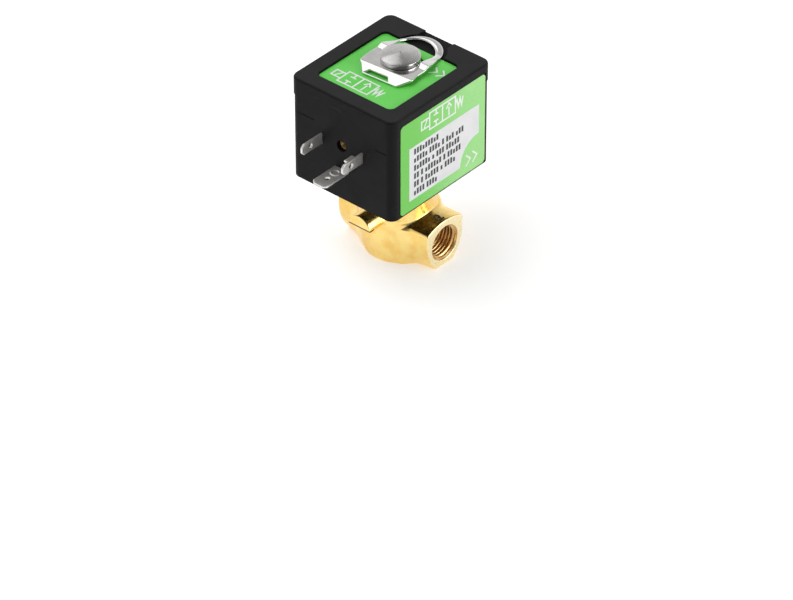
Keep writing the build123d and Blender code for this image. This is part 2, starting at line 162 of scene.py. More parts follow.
def half_plane(u: Array, v: Array, start: tuple[Any, Any], end: tuple[Any, Any]) -> Array:
    """Signed distance to the left side of the line from start to end, negative on its right.

    Args:
        u: First coordinate of the points.
        v: Second coordinate of the points.
        start: A point of the line, as numbers or arrays.
        end: Another point of the line.

    Returns:
        The cross product of the line's direction and the way to each point, over its length.
    """
    du = end[0] - start[0]
    dv = end[1] - start[1]
    return ((u - start[0]) * -dv + (v - start[1]) * du) / np.hypot(du, dv)


def smoothstep(value: Array, start: float, end: float) -> Array:
    """Goes smoothly from 0 to 1 while the value goes from start to end."""
    share = np.clip((value - start) / (end - start), 0.0, 1.0)
    return share * share * (3 - 2 * share)


def rounded_box(points: Array, low: Sequence[float], high: Sequence[float], radius: float) -> Array:
    """Signed distance to a box with all its edges rounded.

    Args:
        points: Points as an (n, 3) array.
        low: The box's lowest corner.
        high: The box's highest corner.
        radius: Radius of its edges.

    Returns:
        The distance to the box shrunk by the radius, less the radius.
    """
    middle = (np.asarray(low) + np.asarray(high)) / 2
    half = (np.asarray(high) - np.asarray(low)) / 2 - radius
    reach = np.abs(points - middle) - half
    outside = np.linalg.norm(np.maximum(reach, 0.0), axis=1)
    return outside + np.minimum(reach.max(axis=1), 0.0) - radius


def slope_of(field: Field, points: Array, step: float) -> Array:
    """The gradient of a field, from central differences along each axis.

    Args:
        field: The signed distances as a function of points.
        points: Points as an (n, 3) array.
        step: Half the distance between the two samples.

    Returns:
        An (n, 3) array of gradients.
    """
    shifts = np.eye(3) * step
    return np.stack([field(points + s) - field(points - s) for s in shifts], axis=1) / (2 * step)


def surface_net(field: Field, low: Sequence[float], high: Sequence[float], cell: float) -> Shape:
    """Wraps a closed skin of quads round the space where a field is negative.

    The field is sampled at the corners of a grid of cubes. A cube that the skin crosses holds one
    vertex, at the mean of the points where the cube's edges change sign, and the vertex then slides
    down the gradient until the field is zero. Every grid edge that changes sign carries one quad
    between the four cubes that share it.

    Args:
        field: The signed distances as a function of points.
        low: Lowest corner of the grid.
        high: Highest corner of the grid.
        cell: Size of a cube.

    Returns:
        The vertices as an (n, 3) array and the quads as an (m, 4) array of vertex numbers.
    """
    axes = [np.arange(a, b + cell, cell) for a, b in zip(low, high)]
    grid = np.stack(np.meshgrid(*axes, indexing="ij"), axis=-1)
    shape = grid.shape[:3]
    value = field(grid.reshape(-1, 3)).reshape(shape)
    corners = np.array([(i, j, k) for i in (0, 1) for j in (0, 1) for k in (0, 1)])
    cubes = tuple(size - 1 for size in shape)
    views = [value[i : i + cubes[0], j : j + cubes[1], k : k + cubes[2]] for i, j, k in corners]
    count = sum((view < 0).astype(np.int8) for view in views)
    place = np.argwhere((count > 0) & (count < 8))
    number = np.full(cubes, -1, dtype=np.int64)
    number[tuple(place.T)] = np.arange(len(place))
    held = np.stack([view[tuple(place.T)] for view in views], axis=1)
    total = np.zeros((len(place), 3))
    hits = np.zeros(len(place))
    for first in range(8):
        for second in range(first + 1, 8):
            if np.abs(corners[first] - corners[second]).sum() != 1:
                continue
            a, b = held[:, first], held[:, second]
            crossed = (a < 0) != (b < 0)
            share = np.where(crossed, a / np.where(crossed, a - b, 1.0), 0.0)
            spot = corners[first] + share[:, None] * (corners[second] - corners[first])
            total += spot * crossed[:, None]
            hits += crossed
    points = np.asarray(low) + (place + total / hits[:, None]) * cell
    for _ in range(SLIDE_ROUNDS):
        slope = slope_of(field, points, cell * SLOPE_STEP)
        push = field(points) / np.maximum((slope**2).sum(axis=1), SLOPE_FLOOR)
        points -= np.clip(push, -cell * LONGEST_PUSH, cell * LONGEST_PUSH)[:, None] * slope
    quads = []
    for axis in range(3):
        one, two = (axis + 1) % 3, (axis + 2) % 3
        front = np.take(value, range(shape[axis] - 1), axis=axis) < 0
        back = np.take(value, range(1, shape[axis]), axis=axis) < 0
        edge = np.argwhere(front != back)
        rising = front[tuple(edge.T)]
        step_one, step_two = np.eye(3, dtype=int)[one], np.eye(3, dtype=int)[two]
        ring = [edge, edge - step_one, edge - step_one - step_two, edge - step_two]
        quad = np.stack([number[tuple(cube.T)] for cube in ring], axis=1)
        quads.append(np.where(rising[:, None], quad, quad[:, ::-1]))
    return points, np.concatenate(quads)


# ---- Grids and profiles --------------------------------------------------------------------------
def grid_quads(rows: int, columns: int, wrap_rows: bool, wrap_columns: bool) -> Array:
    """Quads between neighbours on a grid of rows and columns, as an (m, 4) array.

    Args:
        rows: Number of rows of vertices.
        columns: Number of vertices in a row.
        wrap_rows: Whether the last row joins the first.
        wrap_columns: Whether the last column joins the first.

    Returns:
        Vertex numbers of the quads; vertex (i, j) has the number i * columns + j.
    """
    i, j = np.meshgrid(
        np.arange(rows if wrap_rows else rows - 1),
        np.arange(columns if wrap_columns else columns - 1),
        indexing="ij",
    )
    i_next, j_next = (i + 1) % rows, (j + 1) % columns
    quads = (i * columns + j, i_next * columns + j, i_next * columns + j_next, i * columns + j_next)
    return np.stack(quads, axis=-1).reshape(-1, 4)


def eased_profile(corners: Array, ease: Array, steps: int) -> Array:
    """Rounds the corners of an open line of points.

    At each inner corner the line leaves its run at the eased distance before the corner and comes
    back to the next run as far after it, along a parabola whose control point is the corner.

    Args:
        corners: The line's points as an (n, 2) array.
        ease: Length taken off the runs at each point; the first and last aren't used.
        steps: Points on each rounded corner.

    Returns:
        The rounded line as an (m, 2) array.
    """
    ways = np.diff(corners, axis=0)
    ways /= np.linalg.norm(ways, axis=1)[:, None]
    inner = corners[1:-1]
    start = inner - ways[:-1] * ease[1:-1, None]
    end = inner + ways[1:] * ease[1:-1, None]
    t = np.linspace(0.0, 1.0, steps)[None, :, None]
    bend = start[:, None] * (1 - t) ** 2 + inner[:, None] * 2 * t * (1 - t) + end[:, None] * t**2
    return np.concatenate([corners[:1], bend.reshape(-1, 2), corners[-1:]])


def turned(profile: Array, segments: int) -> Array:
    """Turns a profile of (radius, height) pairs about Z.

    Vertex (i, j) lies at the radius of profile point i and the angle of segment j.

    Args:
        profile: The profile as an (n, 2) array.
        segments: Number of steps round the axis.

    Returns:
        The vertices as an (n * segments, 3) array.
    """
    angle = np.arange(segments) * 2 * math.pi / segments
    x = profile[:, :1] * np.cos(angle)
    y = profile[:, :1] * np.sin(angle)
    z = np.broadcast_to(profile[:, 1:], x.shape)
    return np.stack([x, y, z], axis=-1).reshape(-1, 3)


def ribbon(line: Array, width: float, closed: bool) -> tuple[Array, Array]:
    """The two edges of a flat stroke of even width along a line, with mitred corners.

    Each point moves along the sum of the normals of its two runs, divided by one plus their dot
    product, which keeps both edges parallel to the runs.

    Args:
        line: The line's points as an (n, 2) array.
        width: Width of the stroke.
        closed: Whether the last point joins the first.

    Returns:
        The left edge and the right edge as (n, 2) arrays.
    """
    ways = np.roll(line, -1, axis=0) - line
    if not closed:
        ways[-1] = ways[-2]
    ways /= np.linalg.norm(ways, axis=1)[:, None]
    normal = np.stack([-ways[:, 1], ways[:, 0]], axis=1)
    before = np.roll(normal, 1, axis=0)
    if not closed:
        before[0] = normal[0]
    dot = (normal * before).sum(axis=1)
    offset = (normal + before) / (1 + dot)[:, None] * width / 2
    return line + offset, line - offset


def loft_flat(left: Array, right: Array, low: float, high: float, closed: bool) -> Shape:
    """A flat bar between two edges, with a top, an underside, both flanks and, if open, both ends.

    Args:
        left: The left edge as an (n, 2) array.
        right: The right edge as an (n, 2) array.
        low: Height of the underside.
        high: Height of the top.
        closed: Whether the bar closes on itself.

    Returns:
        The vertices as an (n * 4, 3) array and the faces as quads.
    """
    rows = len(left)
    ring = np.stack(
        [
            np.column_stack([left, np.full(rows, low)]),
            np.column_stack([right, np.full(rows, low)]),
            np.column_stack([right, np.full(rows, high)]),
            np.column_stack([left, np.full(rows, high)]),
        ],
        axis=1,
    )
    faces = grid_quads(rows, 4, closed, True)
    if not closed:
        end = (rows - 1) * 4
        faces = np.concatenate([faces, [[0, 1, 2, 3], [end + 3, end + 2, end + 1, end]]])
    return ring.reshape(-1, 3), faces


def joined(parts: Sequence[Shape]) -> Shape:
    """Puts several shapes into one, with the vertex numbers moved on.

    Args:
        parts: The shapes.

    Returns:
        Vertices and faces.
    """
    starts = np.cumsum([0] + [len(points) for points, _ in parts[:-1]])
    points = np.concatenate([points for points, _ in parts])
    return points, np.concatenate([faces + start for (_, faces), start in zip(parts, starts)])


# ---- Meshes as pieces ---------------------------------------------------------------------------
def add_piece(name: str, shape: Shape, material: bpy.types.Material) -> bpy.types.Object:
    """Makes a closed, smooth-shaded piece at the origin, with its faces pointing outwards.

    Args:
        name: Name of the piece.
        shape: Its vertices in millimetres, and its faces as rows of vertex numbers.
        material: Its finish.

    Returns:
        The new object.
    """
    points, faces = shape
    mesh = bpy.data.meshes.new(name)
    mesh.from_pydata((points * MM).tolist(), [], faces.tolist())
    piece = bpy.data.objects.new(name, mesh)
    bpy.context.scene.collection.objects.link(piece)
    close_mesh(mesh)
    mesh.materials.append(material)
    mesh.shade_smooth()
    return piece


def close_mesh(mesh: bpy.types.Mesh) -> None:
    """Merges doubled vertices, so that seams and poles close, and turns all faces outwards.

    Args:
        mesh: The mesh, changed in place.
    """
    work = bmesh.new()
    work.from_mesh(mesh)
    bmesh.ops.remove_doubles(work, verts=work.verts, dist=WELD)
    bmesh.ops.dissolve_degenerate(work, edges=work.edges, dist=SHORTEST_EDGE)
    bmesh.ops.recalc_face_normals(work, faces=work.faces)
    work.to_mesh(mesh)
    work.free()


def place(piece: bpy.types.Object, body: Body, slot: str, nodes: Sequence[str] = ()) -> None:
    """Lets a piece ride on a body, in the place of CAD nodes.

    Args:
        piece: The piece.
        body: The body that it moves with.
        slot: The record's material slot; not used.
        nodes: The CAD nodes that it stands for.
    """
    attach(piece, body.value)
    if nodes:
        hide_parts(*nodes)
    LOG.info("piece %s on %s: %d faces", piece.name, body.value, len(piece.data.polygons))


def dress(node: str, material: bpy.types.Material) -> None:
    """Gives a CAD node its finish in every material slot.

    Args:
        node: The CAD node.
        material: Its finish.
    """
    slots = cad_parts[node].data.materials
    if not slots:
        slots.append(material)
    for index in range(len(slots)):
        slots[index] = material
    LOG.info("dressed %s with %s", node, material.name)


def crease(piece: bpy.types.Object, degrees: float) -> None:
    """Keeps edges that turn by more than an angle sharp in the shading."""
    piece.data.set_sharp_from_angle(angle=math.radians(degrees))


def build_piece(
    name: str,
    shape: Shape,
    finish: bpy.types.Material,
    degrees: float,
    body: Body,
    slot: str,
    nodes: Sequence[str] = (),
) -> None:
    """Makes a piece, keeps its sharp edges and lets it ride on its body.

    Args:
        name: Name of the piece.
        shape: Its vertices in millimetres and its faces.
        finish: Its finish.
        degrees: Edges that turn by more than this stay sharp in the shading.
        body: The body that it moves with.
        slot: The record's material slot.
        nodes: The CAD nodes that it stands for.
    """
    piece = add_piece(name, shape, finish)
    crease(piece, degrees)
    place(piece, body, slot, nodes)


def softened_copy(node: str, name: str, width: float, material: bpy.types.Material) -> bpy.types.Object:
    """A copy of a CAD node whose hard edges get a small bevel that catches the light.

    Args:
        node: The CAD node.
        name: Name of the copy.
        width: Width of the bevel in millimetres.
        material: Its finish.

    Returns:
        The new object.
    """
    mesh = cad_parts[node].data.copy()
    mesh.name = name
    piece = bpy.data.objects.new(name, mesh)
    bpy.context.scene.collection.objects.link(piece)
    work = bmesh.new()
    work.from_mesh(mesh)
    bmesh.ops.remove_doubles(work, verts=work.verts, dist=WELD_CAD)
    flat = math.radians(FLAT_DEGREES)
    bmesh.ops.dissolve_limit(
        work, angle_limit=flat, verts=work.verts, edges=work.edges, delimit={"NORMAL"}
    )
    work.to_mesh(mesh)
    work.free()
    mesh.materials.clear()
    mesh.materials.append(material)
    mesh.shade_smooth()
    bevel = piece.modifiers.new("edge_break", "BEVEL")
    bevel.width = width * MM
    bevel.segments = 2
    bevel.limit_method = "ANGLE"
    bevel.angle_limit = math.radians(BEVEL_DEGREES)
    bevel.use_clamp_overlap = True
    even = piece.modifiers.new("even_faces", "WEIGHTED_NORMAL")
    even.keep_sharp = True
    return piece


# ---- Finishes -----------------------------------------------------------------------------------
class Nodes:
    """A node tree under construction."""

    def __init__(self, tree: bpy.types.NodeTree) -> None:
        """Takes the tree that the nodes go into."""
        self.tree = tree

    def node(self, kind: str, options: dict | None = None, sockets: dict | None = None) -> bpy.types.Node:
        """Adds a node.

        Args:
            kind: The node's type.
            options: Its settings by name.
            sockets: Values or links for its inputs, by name or number.

        Returns:
            The new node.
        """
        node = self.tree.nodes.new(kind)
        for key, value in (options or {}).items():
            setattr(node, key, value)
        for key, value in (sockets or {}).items():
            self.feed(node.inputs[key], value)
        return node

    def feed(self, socket: Socket, value: Any) -> None:
        """Sets an input to a value, or links it to an output.

        Args:
            socket: The input.
            value: Its value, or the output that it takes its value from.
        """
        if isinstance(value, Socket):
            self.tree.links.new(value, socket)
        else:
            socket.default_value = value

    def math(self, operation: str, first: Any, second: Any = 0.0) -> Socket:
        """The result of one sum on two numbers."""
        return self.node("ShaderNodeMath", {"operation": operation}, {0: first, 1: second}).outputs[0]

    def span(self, value: Any, start: float, end: float, low: float = 0.0, high: float = 1.0) -> Socket:
        """A number that goes smoothly from low to high while the value goes from start to end."""
        sockets = {"Value": value, "From Min": start, "From Max": end, "To Min": low, "To Max": high}
        return self.node("ShaderNodeMapRange", {"interpolation_type": "SMOOTHSTEP"}, sockets).outputs[0]


class Shader(Nodes):
    """A material under construction, whose coordinates are the object's own, in millimetres."""

    def __init__(self, name: str) -> None:
        """Starts a material with one Principled shader.

        Args:
            name: Name of the material.
        """
        self.material = bpy.data.materials.new(name)
        self.material.use_nodes = True
        super().__init__(self.material.node_tree)
        self.surface = self.tree.nodes["Principled BSDF"]
        where = self.node("ShaderNodeTexCoord").outputs["Object"]
        scale = (1 / MM, 1 / MM, 1 / MM)
        self.place = self.node("ShaderNodeMapping", {}, {"Vector": where, "Scale": scale}).outputs["Vector"]

    def set(self, **values: Any) -> None:
        """Sets or links sockets of the Principled shader, with underscores for spaces."""
        for key, value in values.items():
            self.feed(self.surface.inputs[key.replace("_", " ")], value)

    def split(self) -> tuple[Socket, ...]:
        """The three coordinates of the surface, in millimetres."""
        return tuple(self.node("ShaderNodeSeparateXYZ", {}, {0: self.place}).outputs)

    def stretched(self, scale: tuple[float, float, float]) -> Socket:
        """The coordinates scaled by a different number along each axis."""
        return self.node("ShaderNodeMapping", {}, {"Vector": self.place, "Scale": scale}).outputs["Vector"]

    def noise(self, scale: float, detail: float = 3.0, vector: Any = None) -> Socket:
        """Cloudy noise from 0 to 1 with so many cells in a millimetre."""
        sockets = {"Vector": vector or self.place, "Scale": scale, "Detail": detail}
        return self.node("ShaderNodeTexNoise", {}, sockets).outputs["Fac"]

    def rings(self, radius: Any, scale: float, detail: float = 4.0) -> Socket:
        """Uneven fine rings: noise along one number only."""
        sockets = {"W": radius, "Scale": scale, "Detail": detail}
        return self.node("ShaderNodeTexNoise", {"noise_dimensions": "1D"}, sockets).outputs["Fac"]

    def uneven(self, noise: Any, low: float, high: float) -> Socket:
        """A number from low to high that follows a noise."""
        return self.span(noise, *NOISE_BAND, low, high)

    def blend(self, share: Any, first: Any, second: Any) -> Socket:
        """A colour between two colours.

        Args:
            share: How much of the second colour there is, from 0 to 1.
            first: The first colour, as numbers or an output.
            second: The second colour.

        Returns:
            The mixed colour.
        """
        first, second = [(*tone, 1.0) if isinstance(tone, tuple) else tone for tone in (first, second)]
        return self.node("ShaderNodeMix", {"data_type": "RGBA"}, {0: share, 6: first, 7: second}).outputs[2]

    def bump(self, height: Any, depth: float, below: Any = None, strength: Any = 1.0) -> Socket:
        """A normal tilted by a height.

        Args:
            height: The height, from 0 to 1.
            depth: What a height of 1 is worth, in millimetres.
            below: The normal that is tilted, if it isn't the mesh's own.
            strength: How much of the tilt is taken.

        Returns:
            The tilted normal.
        """
        sockets = {"Height": height, "Distance": depth * MM, "Strength": strength}
        if below is not None:
            sockets["Normal"] = below
        return self.node("ShaderNodeBump", {}, sockets).outputs["Normal"]

    def round_bar(self, axis: Axis) -> Socket:
        """Distance from the tube's axis or from the axis of the ports.

        Args:
            axis: Which of the two.

        Returns:
            The distance in millimetres.
        """
        x, y, z = self.split()
        across = (x, y) if axis is Axis.TUBE else (y, self.math("SUBTRACT", z, ForgedBody.port_z))
        squares = [self.math("MULTIPLY", value, value) for value in across]
        return self.math("SQRT", self.math("ADD", *squares))


@dataclass(frozen=True)
class Metal:
    """A worked metal: two close tones, an uneven gloss and a grain stretched along its working.

    In the finishes, a gloss of two numbers is the lowest and the highest roughness, a scale is in
    cells for each millimetre and a depth is in millimetres.
    """

    name: str
    tone: Colour
    dark_tone: Colour
    gloss: tuple[float, float]
    grain: tuple[float, float, float] = (1.0, 1.0, 1.0)
    grain_scale: float = 3.0
    grain_depth: float = 0.004
    cloud_scale: float = 0.25
    metallic: float = 1.0

    def material(self) -> bpy.types.Material:
        """Builds the finish.

        Returns:
            The new material.
        """
        shader = Shader(self.name)
        grain = shader.noise(self.grain_scale, 4.0, shader.stretched(self.grain))
        shade = shader.span(shader.noise(self.cloud_scale), 0.35, 0.68)
        shader.set(
            Base_Color=shader.blend(shade, self.dark_tone, self.tone),
            Metallic=self.metallic,
            Roughness=shader.uneven(grain, *self.gloss),
            Normal=shader.bump(grain, self.grain_depth),
        )
        return shader.material


@dataclass(frozen=True)
class ForgedBrass:
    """Hot-forged brass with an uneven skin, turned bright on the port faces, with a painted shadow line
    under the lug.
    """

    name: str = "forged_brass"
    tone: Colour = (0.97, 0.73, 0.27)
    deep_tone: Colour = (0.90, 0.60, 0.17)
    turned_tone: Colour = (0.97, 0.83, 0.50)
    under_lug_shadow_tone: Colour = (0.045, 0.028, 0.010)
    shadow_y: float = -19.5
    shadow_z: float = 18.2
    shadow_fade: float = 0.4
    shadow_edge: float = 0.15
    face_x: tuple[float, float] = (19.95, 20.1)
    face_dulling: float = 0.05
    gloss: tuple[float, float] = (0.15, 0.27)
    skin_depth: float = 0.012
    grit_depth: float = 0.0015
    ring_depth: float = 0.004

    def material(self) -> bpy.types.Material:
        """Builds the finish; the port faces are where X is at its largest.

        A painted shadow, a near-black tone standing in for the shade under the lug's edge, lies on the ledge
        under the lug, beyond the shadow's Y and below its flat.

        Returns:
            The new material.
        """
        shader = Shader(self.name)
        x, y, z = shader.split()
        # Painted shadow: a near-black tone on the ledge under the lug, where the lug's edge casts shade.
        low = shader.span(z, self.shadow_z - self.shadow_edge, self.shadow_z, 1.0, 0.0)
        far = shader.span(y, self.shadow_y, self.shadow_y + self.shadow_fade, 1.0, 0.0)
        painted_shadow = shader.math("MULTIPLY", low, far)
        face = shader.span(shader.math("ABSOLUTE", x), *self.face_x)
        cloud = shader.noise(0.16, 4.0)
        skin = shader.noise(1.1, 5.0)
        grit = shader.noise(5.0)
        forged = shader.blend(shader.span(cloud, 0.36, 0.64), self.deep_tone, self.tone)
        rings = shader.rings(shader.round_bar(Axis.PORTS), 6.0)
        rough = shader.uneven(skin, *self.gloss)
        under = shader.bump(grit, self.grit_depth, strength=shader.span(face, 0.0, 1.0, 1.0, 0.2))
        over = shader.bump(skin, self.skin_depth, under, shader.span(face, 0.0, 1.0, 1.0, 0.0))
        shader.set(
            Base_Color=shader.blend(painted_shadow, shader.blend(face, forged, self.turned_tone), self.under_lug_shadow_tone),
            Metallic=1.0,
            Roughness=shader.math("ADD", rough, shader.span(face, 0.0, 1.0, 0.0, self.face_dulling)),
            Normal=shader.bump(rings, self.ring_depth, over, face),
        )
        return shader.material


@dataclass(frozen=True)
class TurnedSteel:
    """Stainless steel faced on a lathe, whose fine rings draw the highlights out along the radius.

    The side of the head is polished to side_gloss; on its face, above face_z, gloss is added to
    that.
    """

    name: str = "turned_steel"
    face_z: float = 77.3
    face_fade: float = 0.1
    tone: Colour = (0.64, 0.63, 0.62)
    dark_tone: Colour = (0.59, 0.58, 0.57)
    gloss: tuple[float, float] = (0.16, 0.22)
    side_gloss: float = 0.06
    anisotropy: float = 0.85
    ring_depth: float = 0.0012

    def material(self) -> bpy.types.Material:
        """Builds the finish; the tangent follows the piece's own UV map along its profile.

        Returns:
            The new material.
        """
        shader = Shader(self.name)
        rings = shader.rings(shader.round_bar(Axis.TUBE), 7.0)
        cloud = shader.noise(0.5)
        face = shader.span(shader.split()[2], self.face_z - self.face_fade, self.face_z + self.face_fade)
        rough = shader.uneven(rings, *self.gloss)
        tangent = shader.node("ShaderNodeTangent", {"direction_type": "UV_MAP", "uv_map": "turning"})
        shader.set(
            Base_Color=shader.blend(shader.span(cloud, 0.35, 0.65), self.dark_tone, self.tone),
            Metallic=1.0,
            Roughness=shader.math("ADD", shader.math("MULTIPLY", face, rough), self.side_gloss),
            Anisotropic=self.anisotropy,
            Tangent=tangent.outputs["Tangent"],
            Normal=shader.bump(rings, self.ring_depth),
        )
        return shader.material


@dataclass(frozen=True)
class Moulding:
    """Black thermoset moulding: satin, faintly pitted, with a few rubbed patches; its top face is painted
    lighter, a painted highlight for the light that falls on it.
    """

    name: str = "black_moulding"
    tone: Colour = (0.0085, 0.0085, 0.009)
    rubbed_tone: Colour = (0.018, 0.018, 0.019)
    lit_top_tone: Colour = (0.024, 0.024, 0.024)
    rim_z: float = 74.0
    rim_fade: float = 0.4
    gloss: tuple[float, float] = (0.44, 0.56)
    shine: float = 0.09
    pit_depth: float = 0.006
    wave_depth: float = 0.02

    def material(self) -> bpy.types.Material:
        """Builds the finish.

        Returns:
            The new material.
        """
        shader = Shader(self.name)
        patch = shader.noise(0.12, 4.0)
        pits = shader.noise(4.5, 4.0)
        waves = shader.noise(0.35, 2.0)
        scuff = shader.noise(0.8, 6.0, shader.stretched((0.3, 1.0, 3.0)))
        rubbed = shader.math("MULTIPLY", shader.span(patch, 0.5, 0.72), shader.span(scuff, 0.45, 0.7))
        # Painted highlight: above rim_z the top face gets a lighter tone in patches, for the light that
        # falls on the top.
        rim = shader.span(shader.split()[2], self.rim_z, self.rim_z + self.rim_fade)
        top_light = shader.math("MULTIPLY", rim, shader.span(patch, 0.25, 0.6, 0.6, 1.0))
        plain = shader.blend(rubbed, self.tone, self.rubbed_tone)
        shader.set(
            Base_Color=shader.blend(top_light, plain, self.lit_top_tone),
            Roughness=shader.uneven(patch, *self.gloss),
            Specular_IOR_Level=self.shine,
            Normal=shader.bump(pits, self.pit_depth, shader.bump(waves, self.wave_depth)),
        )
        return shader.material


@dataclass(frozen=True)
class Film:
    """A glossy printed label film with a slight ripple over the moulding.

    The roughness goes from gloss to gloss_spread more, and clouds shift the tone at random towards the
    second tone. Where glare_y is given, the second tone is a painted glare: between its two Y values
    the tone goes from the full one to the paler one, a painted reflection that lightens the film
    towards +Y, and clouds take at most the share glare_cloud off it.
    """

    name: str
    tone: Colour
    fade_and_glare_tone: Colour
    gloss: float = 0.22
    gloss_spread: float = 0.08
    ripple: float = 0.006
    glare_cloud: float = 0.2
    glare_y: tuple[float, float] | None = None

    def material(self) -> bpy.types.Material:
        """Builds the finish.

        Returns:
            The new material.
        """
        shader = Shader(self.name)
        fade_and_glare = shader.span(shader.noise(0.07), 0.35, 0.68)
        # Painted reflection: along Y the film is lightened towards the pale tone, standing in for glare.
        if self.glare_y:
            rest = 1 / self.glare_cloud - 1
            fade_and_glare = shader.math("MULTIPLY", shader.math("ADD", fade_and_glare, rest), self.glare_cloud)
            fade_and_glare = shader.math("MULTIPLY", fade_and_glare, shader.span(shader.split()[1], *self.glare_y))
        ripple = shader.noise(0.4)
        fleck = shader.noise(6.0, 2.0)
        shader.set(
            Base_Color=shader.blend(fade_and_glare, self.tone, self.fade_and_glare_tone),
            Roughness=shader.uneven(fleck, self.gloss, self.gloss + self.gloss_spread),
            Normal=shader.bump(ripple, self.ripple),
        )
        return shader.material


@dataclass(frozen=True)
class Winding:
    """Enamelled copper wire wound in close layers about Z, with painted shade in the grooves between turns.
    """

    name: str = "enamelled_wire"
    tone: Colour = (0.72, 0.27, 0.10)
    dark_tone: Colour = (0.40, 0.11, 0.04)
    wire: float = 0.32
    wire_depth: float = 0.1
    metallic: float = 0.85
    gloss: tuple[float, float] = (0.24, 0.38)

    def material(self) -> bpy.types.Material:
        """Builds the finish; a sine along Z makes one ridge for each turn of wire, and darkens the groove
        between turns as painted shade.

        Returns:
            The new material.
        """
        shader = Shader(self.name)
        z = shader.split()[2]
        wave = shader.math("SINE", shader.math("MULTIPLY", z, 2 * math.pi / self.wire))
        ridge = shader.span(wave, -1.0, 1.0)
        # Painted shade: the dark tone lies in the grooves between turns, where the bump is low.
        shader.set(
            Base_Color=shader.blend(ridge, self.dark_tone, self.tone),
            Metallic=self.metallic,
            Roughness=shader.uneven(shader.noise(1.0), *self.gloss),
            Normal=shader.bump(ridge, self.wire_depth),
        )
        return shader.material


@dataclass(frozen=True)
class Wrap:
    """Polyester tape wound round the coil in overlapping turns."""

    name: str = "winding_tape"
    tone: Colour = (0.70, 0.50, 0.10)
    edge_tone: Colour = (0.50, 0.32, 0.05)
    turn: float = 6.5
    edge_share: float = 0.06
    edge_depth: float = 0.06
    weave_depth: float = 0.01
    gloss: tuple[float, float] = (0.28, 0.42)

    def material(self) -> bpy.types.Material:
        """Builds the finish; the edge of each turn is a step in a sawtooth along Z.

        Returns:
            The new material.
        """
        shader = Shader(self.name)
        z = shader.split()[2]
        saw = shader.math("FRACT", shader.math("DIVIDE", z, self.turn))
        edge = shader.span(saw, 0.0, self.edge_share)
        shader.set(
            Base_Color=shader.blend(edge, self.edge_tone, self.tone),
            Roughness=shader.uneven(shader.noise(1.5), *self.gloss),
            Normal=shader.bump(edge, self.edge_depth, shader.bump(shader.noise(2.5), self.weave_depth)),
        )
        return shader.material


@dataclass(frozen=True)
class Compound:
    """A matt moulded compound, such as nylon or rubber, with specks in it."""

    name: str
    tone: Colour
    speck_tone: Colour
    gloss: tuple[float, float] = (0.45, 0.6)
    pit: float = 0.01

    def material(self) -> bpy.types.Material:
        """Builds the finish.

        Returns:
            The new material.
        """
        shader = Shader(self.name)
        speck = shader.noise(5.0, 4.0)
        cloud = shader.noise(0.5)
        shader.set(
            Base_Color=shader.blend(shader.span(speck, 0.55, 0.7), self.tone, self.speck_tone),
            Roughness=shader.uneven(cloud, *self.gloss),
            Normal=shader.bump(speck, self.pit),
        )
        return shader.material


FORGED_BRASS = ForgedBrass()
TURNED_STEEL = TurnedSteel()
MOULDING = Moulding()
GREEN_FILM = Film("green_film", (0.125, 0.69, 0.085), (0.155, 0.74, 0.11))
# The side label's pale tone is a painted glare, lighter towards +Y.
SIDE_FILM = Film("side_film", (0.15, 0.60, 0.07), (0.38, 0.78, 0.28), glare_y=(-24.0, 16.0))
WHITE_INK = Film("white_ink", (0.86, 0.88, 0.85), (0.80, 0.84, 0.80))
PANEL_INK = Film("panel_ink", (0.80, 0.80, 0.81), (0.72, 0.72, 0.74))
BLACK_INK = Film("black_ink", (0.018, 0.018, 0.02), (0.03, 0.03, 0.032), 0.35)
THREAD_BRASS = Metal("thread_brass", (0.85, 0.58, 0.25), (0.62, 0.36, 0.13), (0.2, 0.34), (0.4, 3.0, 3.0))
# The screw bush's brass is painted dark, a painted shade for the inside of the screw hole.
SHADED_BUSH_BRASS = Metal("bush_brass", (0.42, 0.26, 0.09), (0.20, 0.11, 0.035), (0.2, 0.32), (3.0, 0.4, 3.0))
CLIP_STEEL = Metal(
    "polished_spring_steel",
    (0.84, 0.83, 0.82),
    (0.76, 0.75, 0.74),
    (0.07, 0.15),
    (4.0, 0.5, 1.0),
    grain_scale=2.0,
    grain_depth=0.0012,
)
TINNED = Metal(
    "tinned_brass",
    (0.90, 0.88, 0.85),
    (0.76, 0.74, 0.71),
    (0.30, 0.46),
    (3.0, 0.6, 3.0),
    grain_scale=1.2,
    grain_depth=0.0012,
    metallic=0.8,
)
STAINLESS = Metal("drawn_stainless", (0.60, 0.59, 0.57), (0.48, 0.47, 0.46), (0.24, 0.38), (3.0, 3.0, 0.3))
PLATED = Metal("plated_steel", (0.66, 0.65, 0.62), (0.50, 0.49, 0.46), (0.28, 0.45), (1.0, 1.0, 2.0))
SPRING = Metal("spring_steel", (0.50, 0.49, 0.48), (0.36, 0.35, 0.34), (0.25, 0.4), (1.0, 1.0, 3.0))
SOFT_IRON = Metal("soft_iron", (0.42, 0.41, 0.40), (0.28, 0.27, 0.26), (0.35, 0.55), (1.0, 1.0, 0.4))
COPPER = Metal("bare_copper", (0.82, 0.44, 0.30), (0.62, 0.28, 0.17), (0.22, 0.4), (2.0, 2.0, 0.5))
RUBBER = Compound("black_rubber", (0.014, 0.014, 0.014), (0.030, 0.030, 0.030))
NYLON = Compound("filled_nylon", (0.55, 0.52, 0.45), (0.40, 0.37, 0.30), (0.38, 0.5), 0.006)


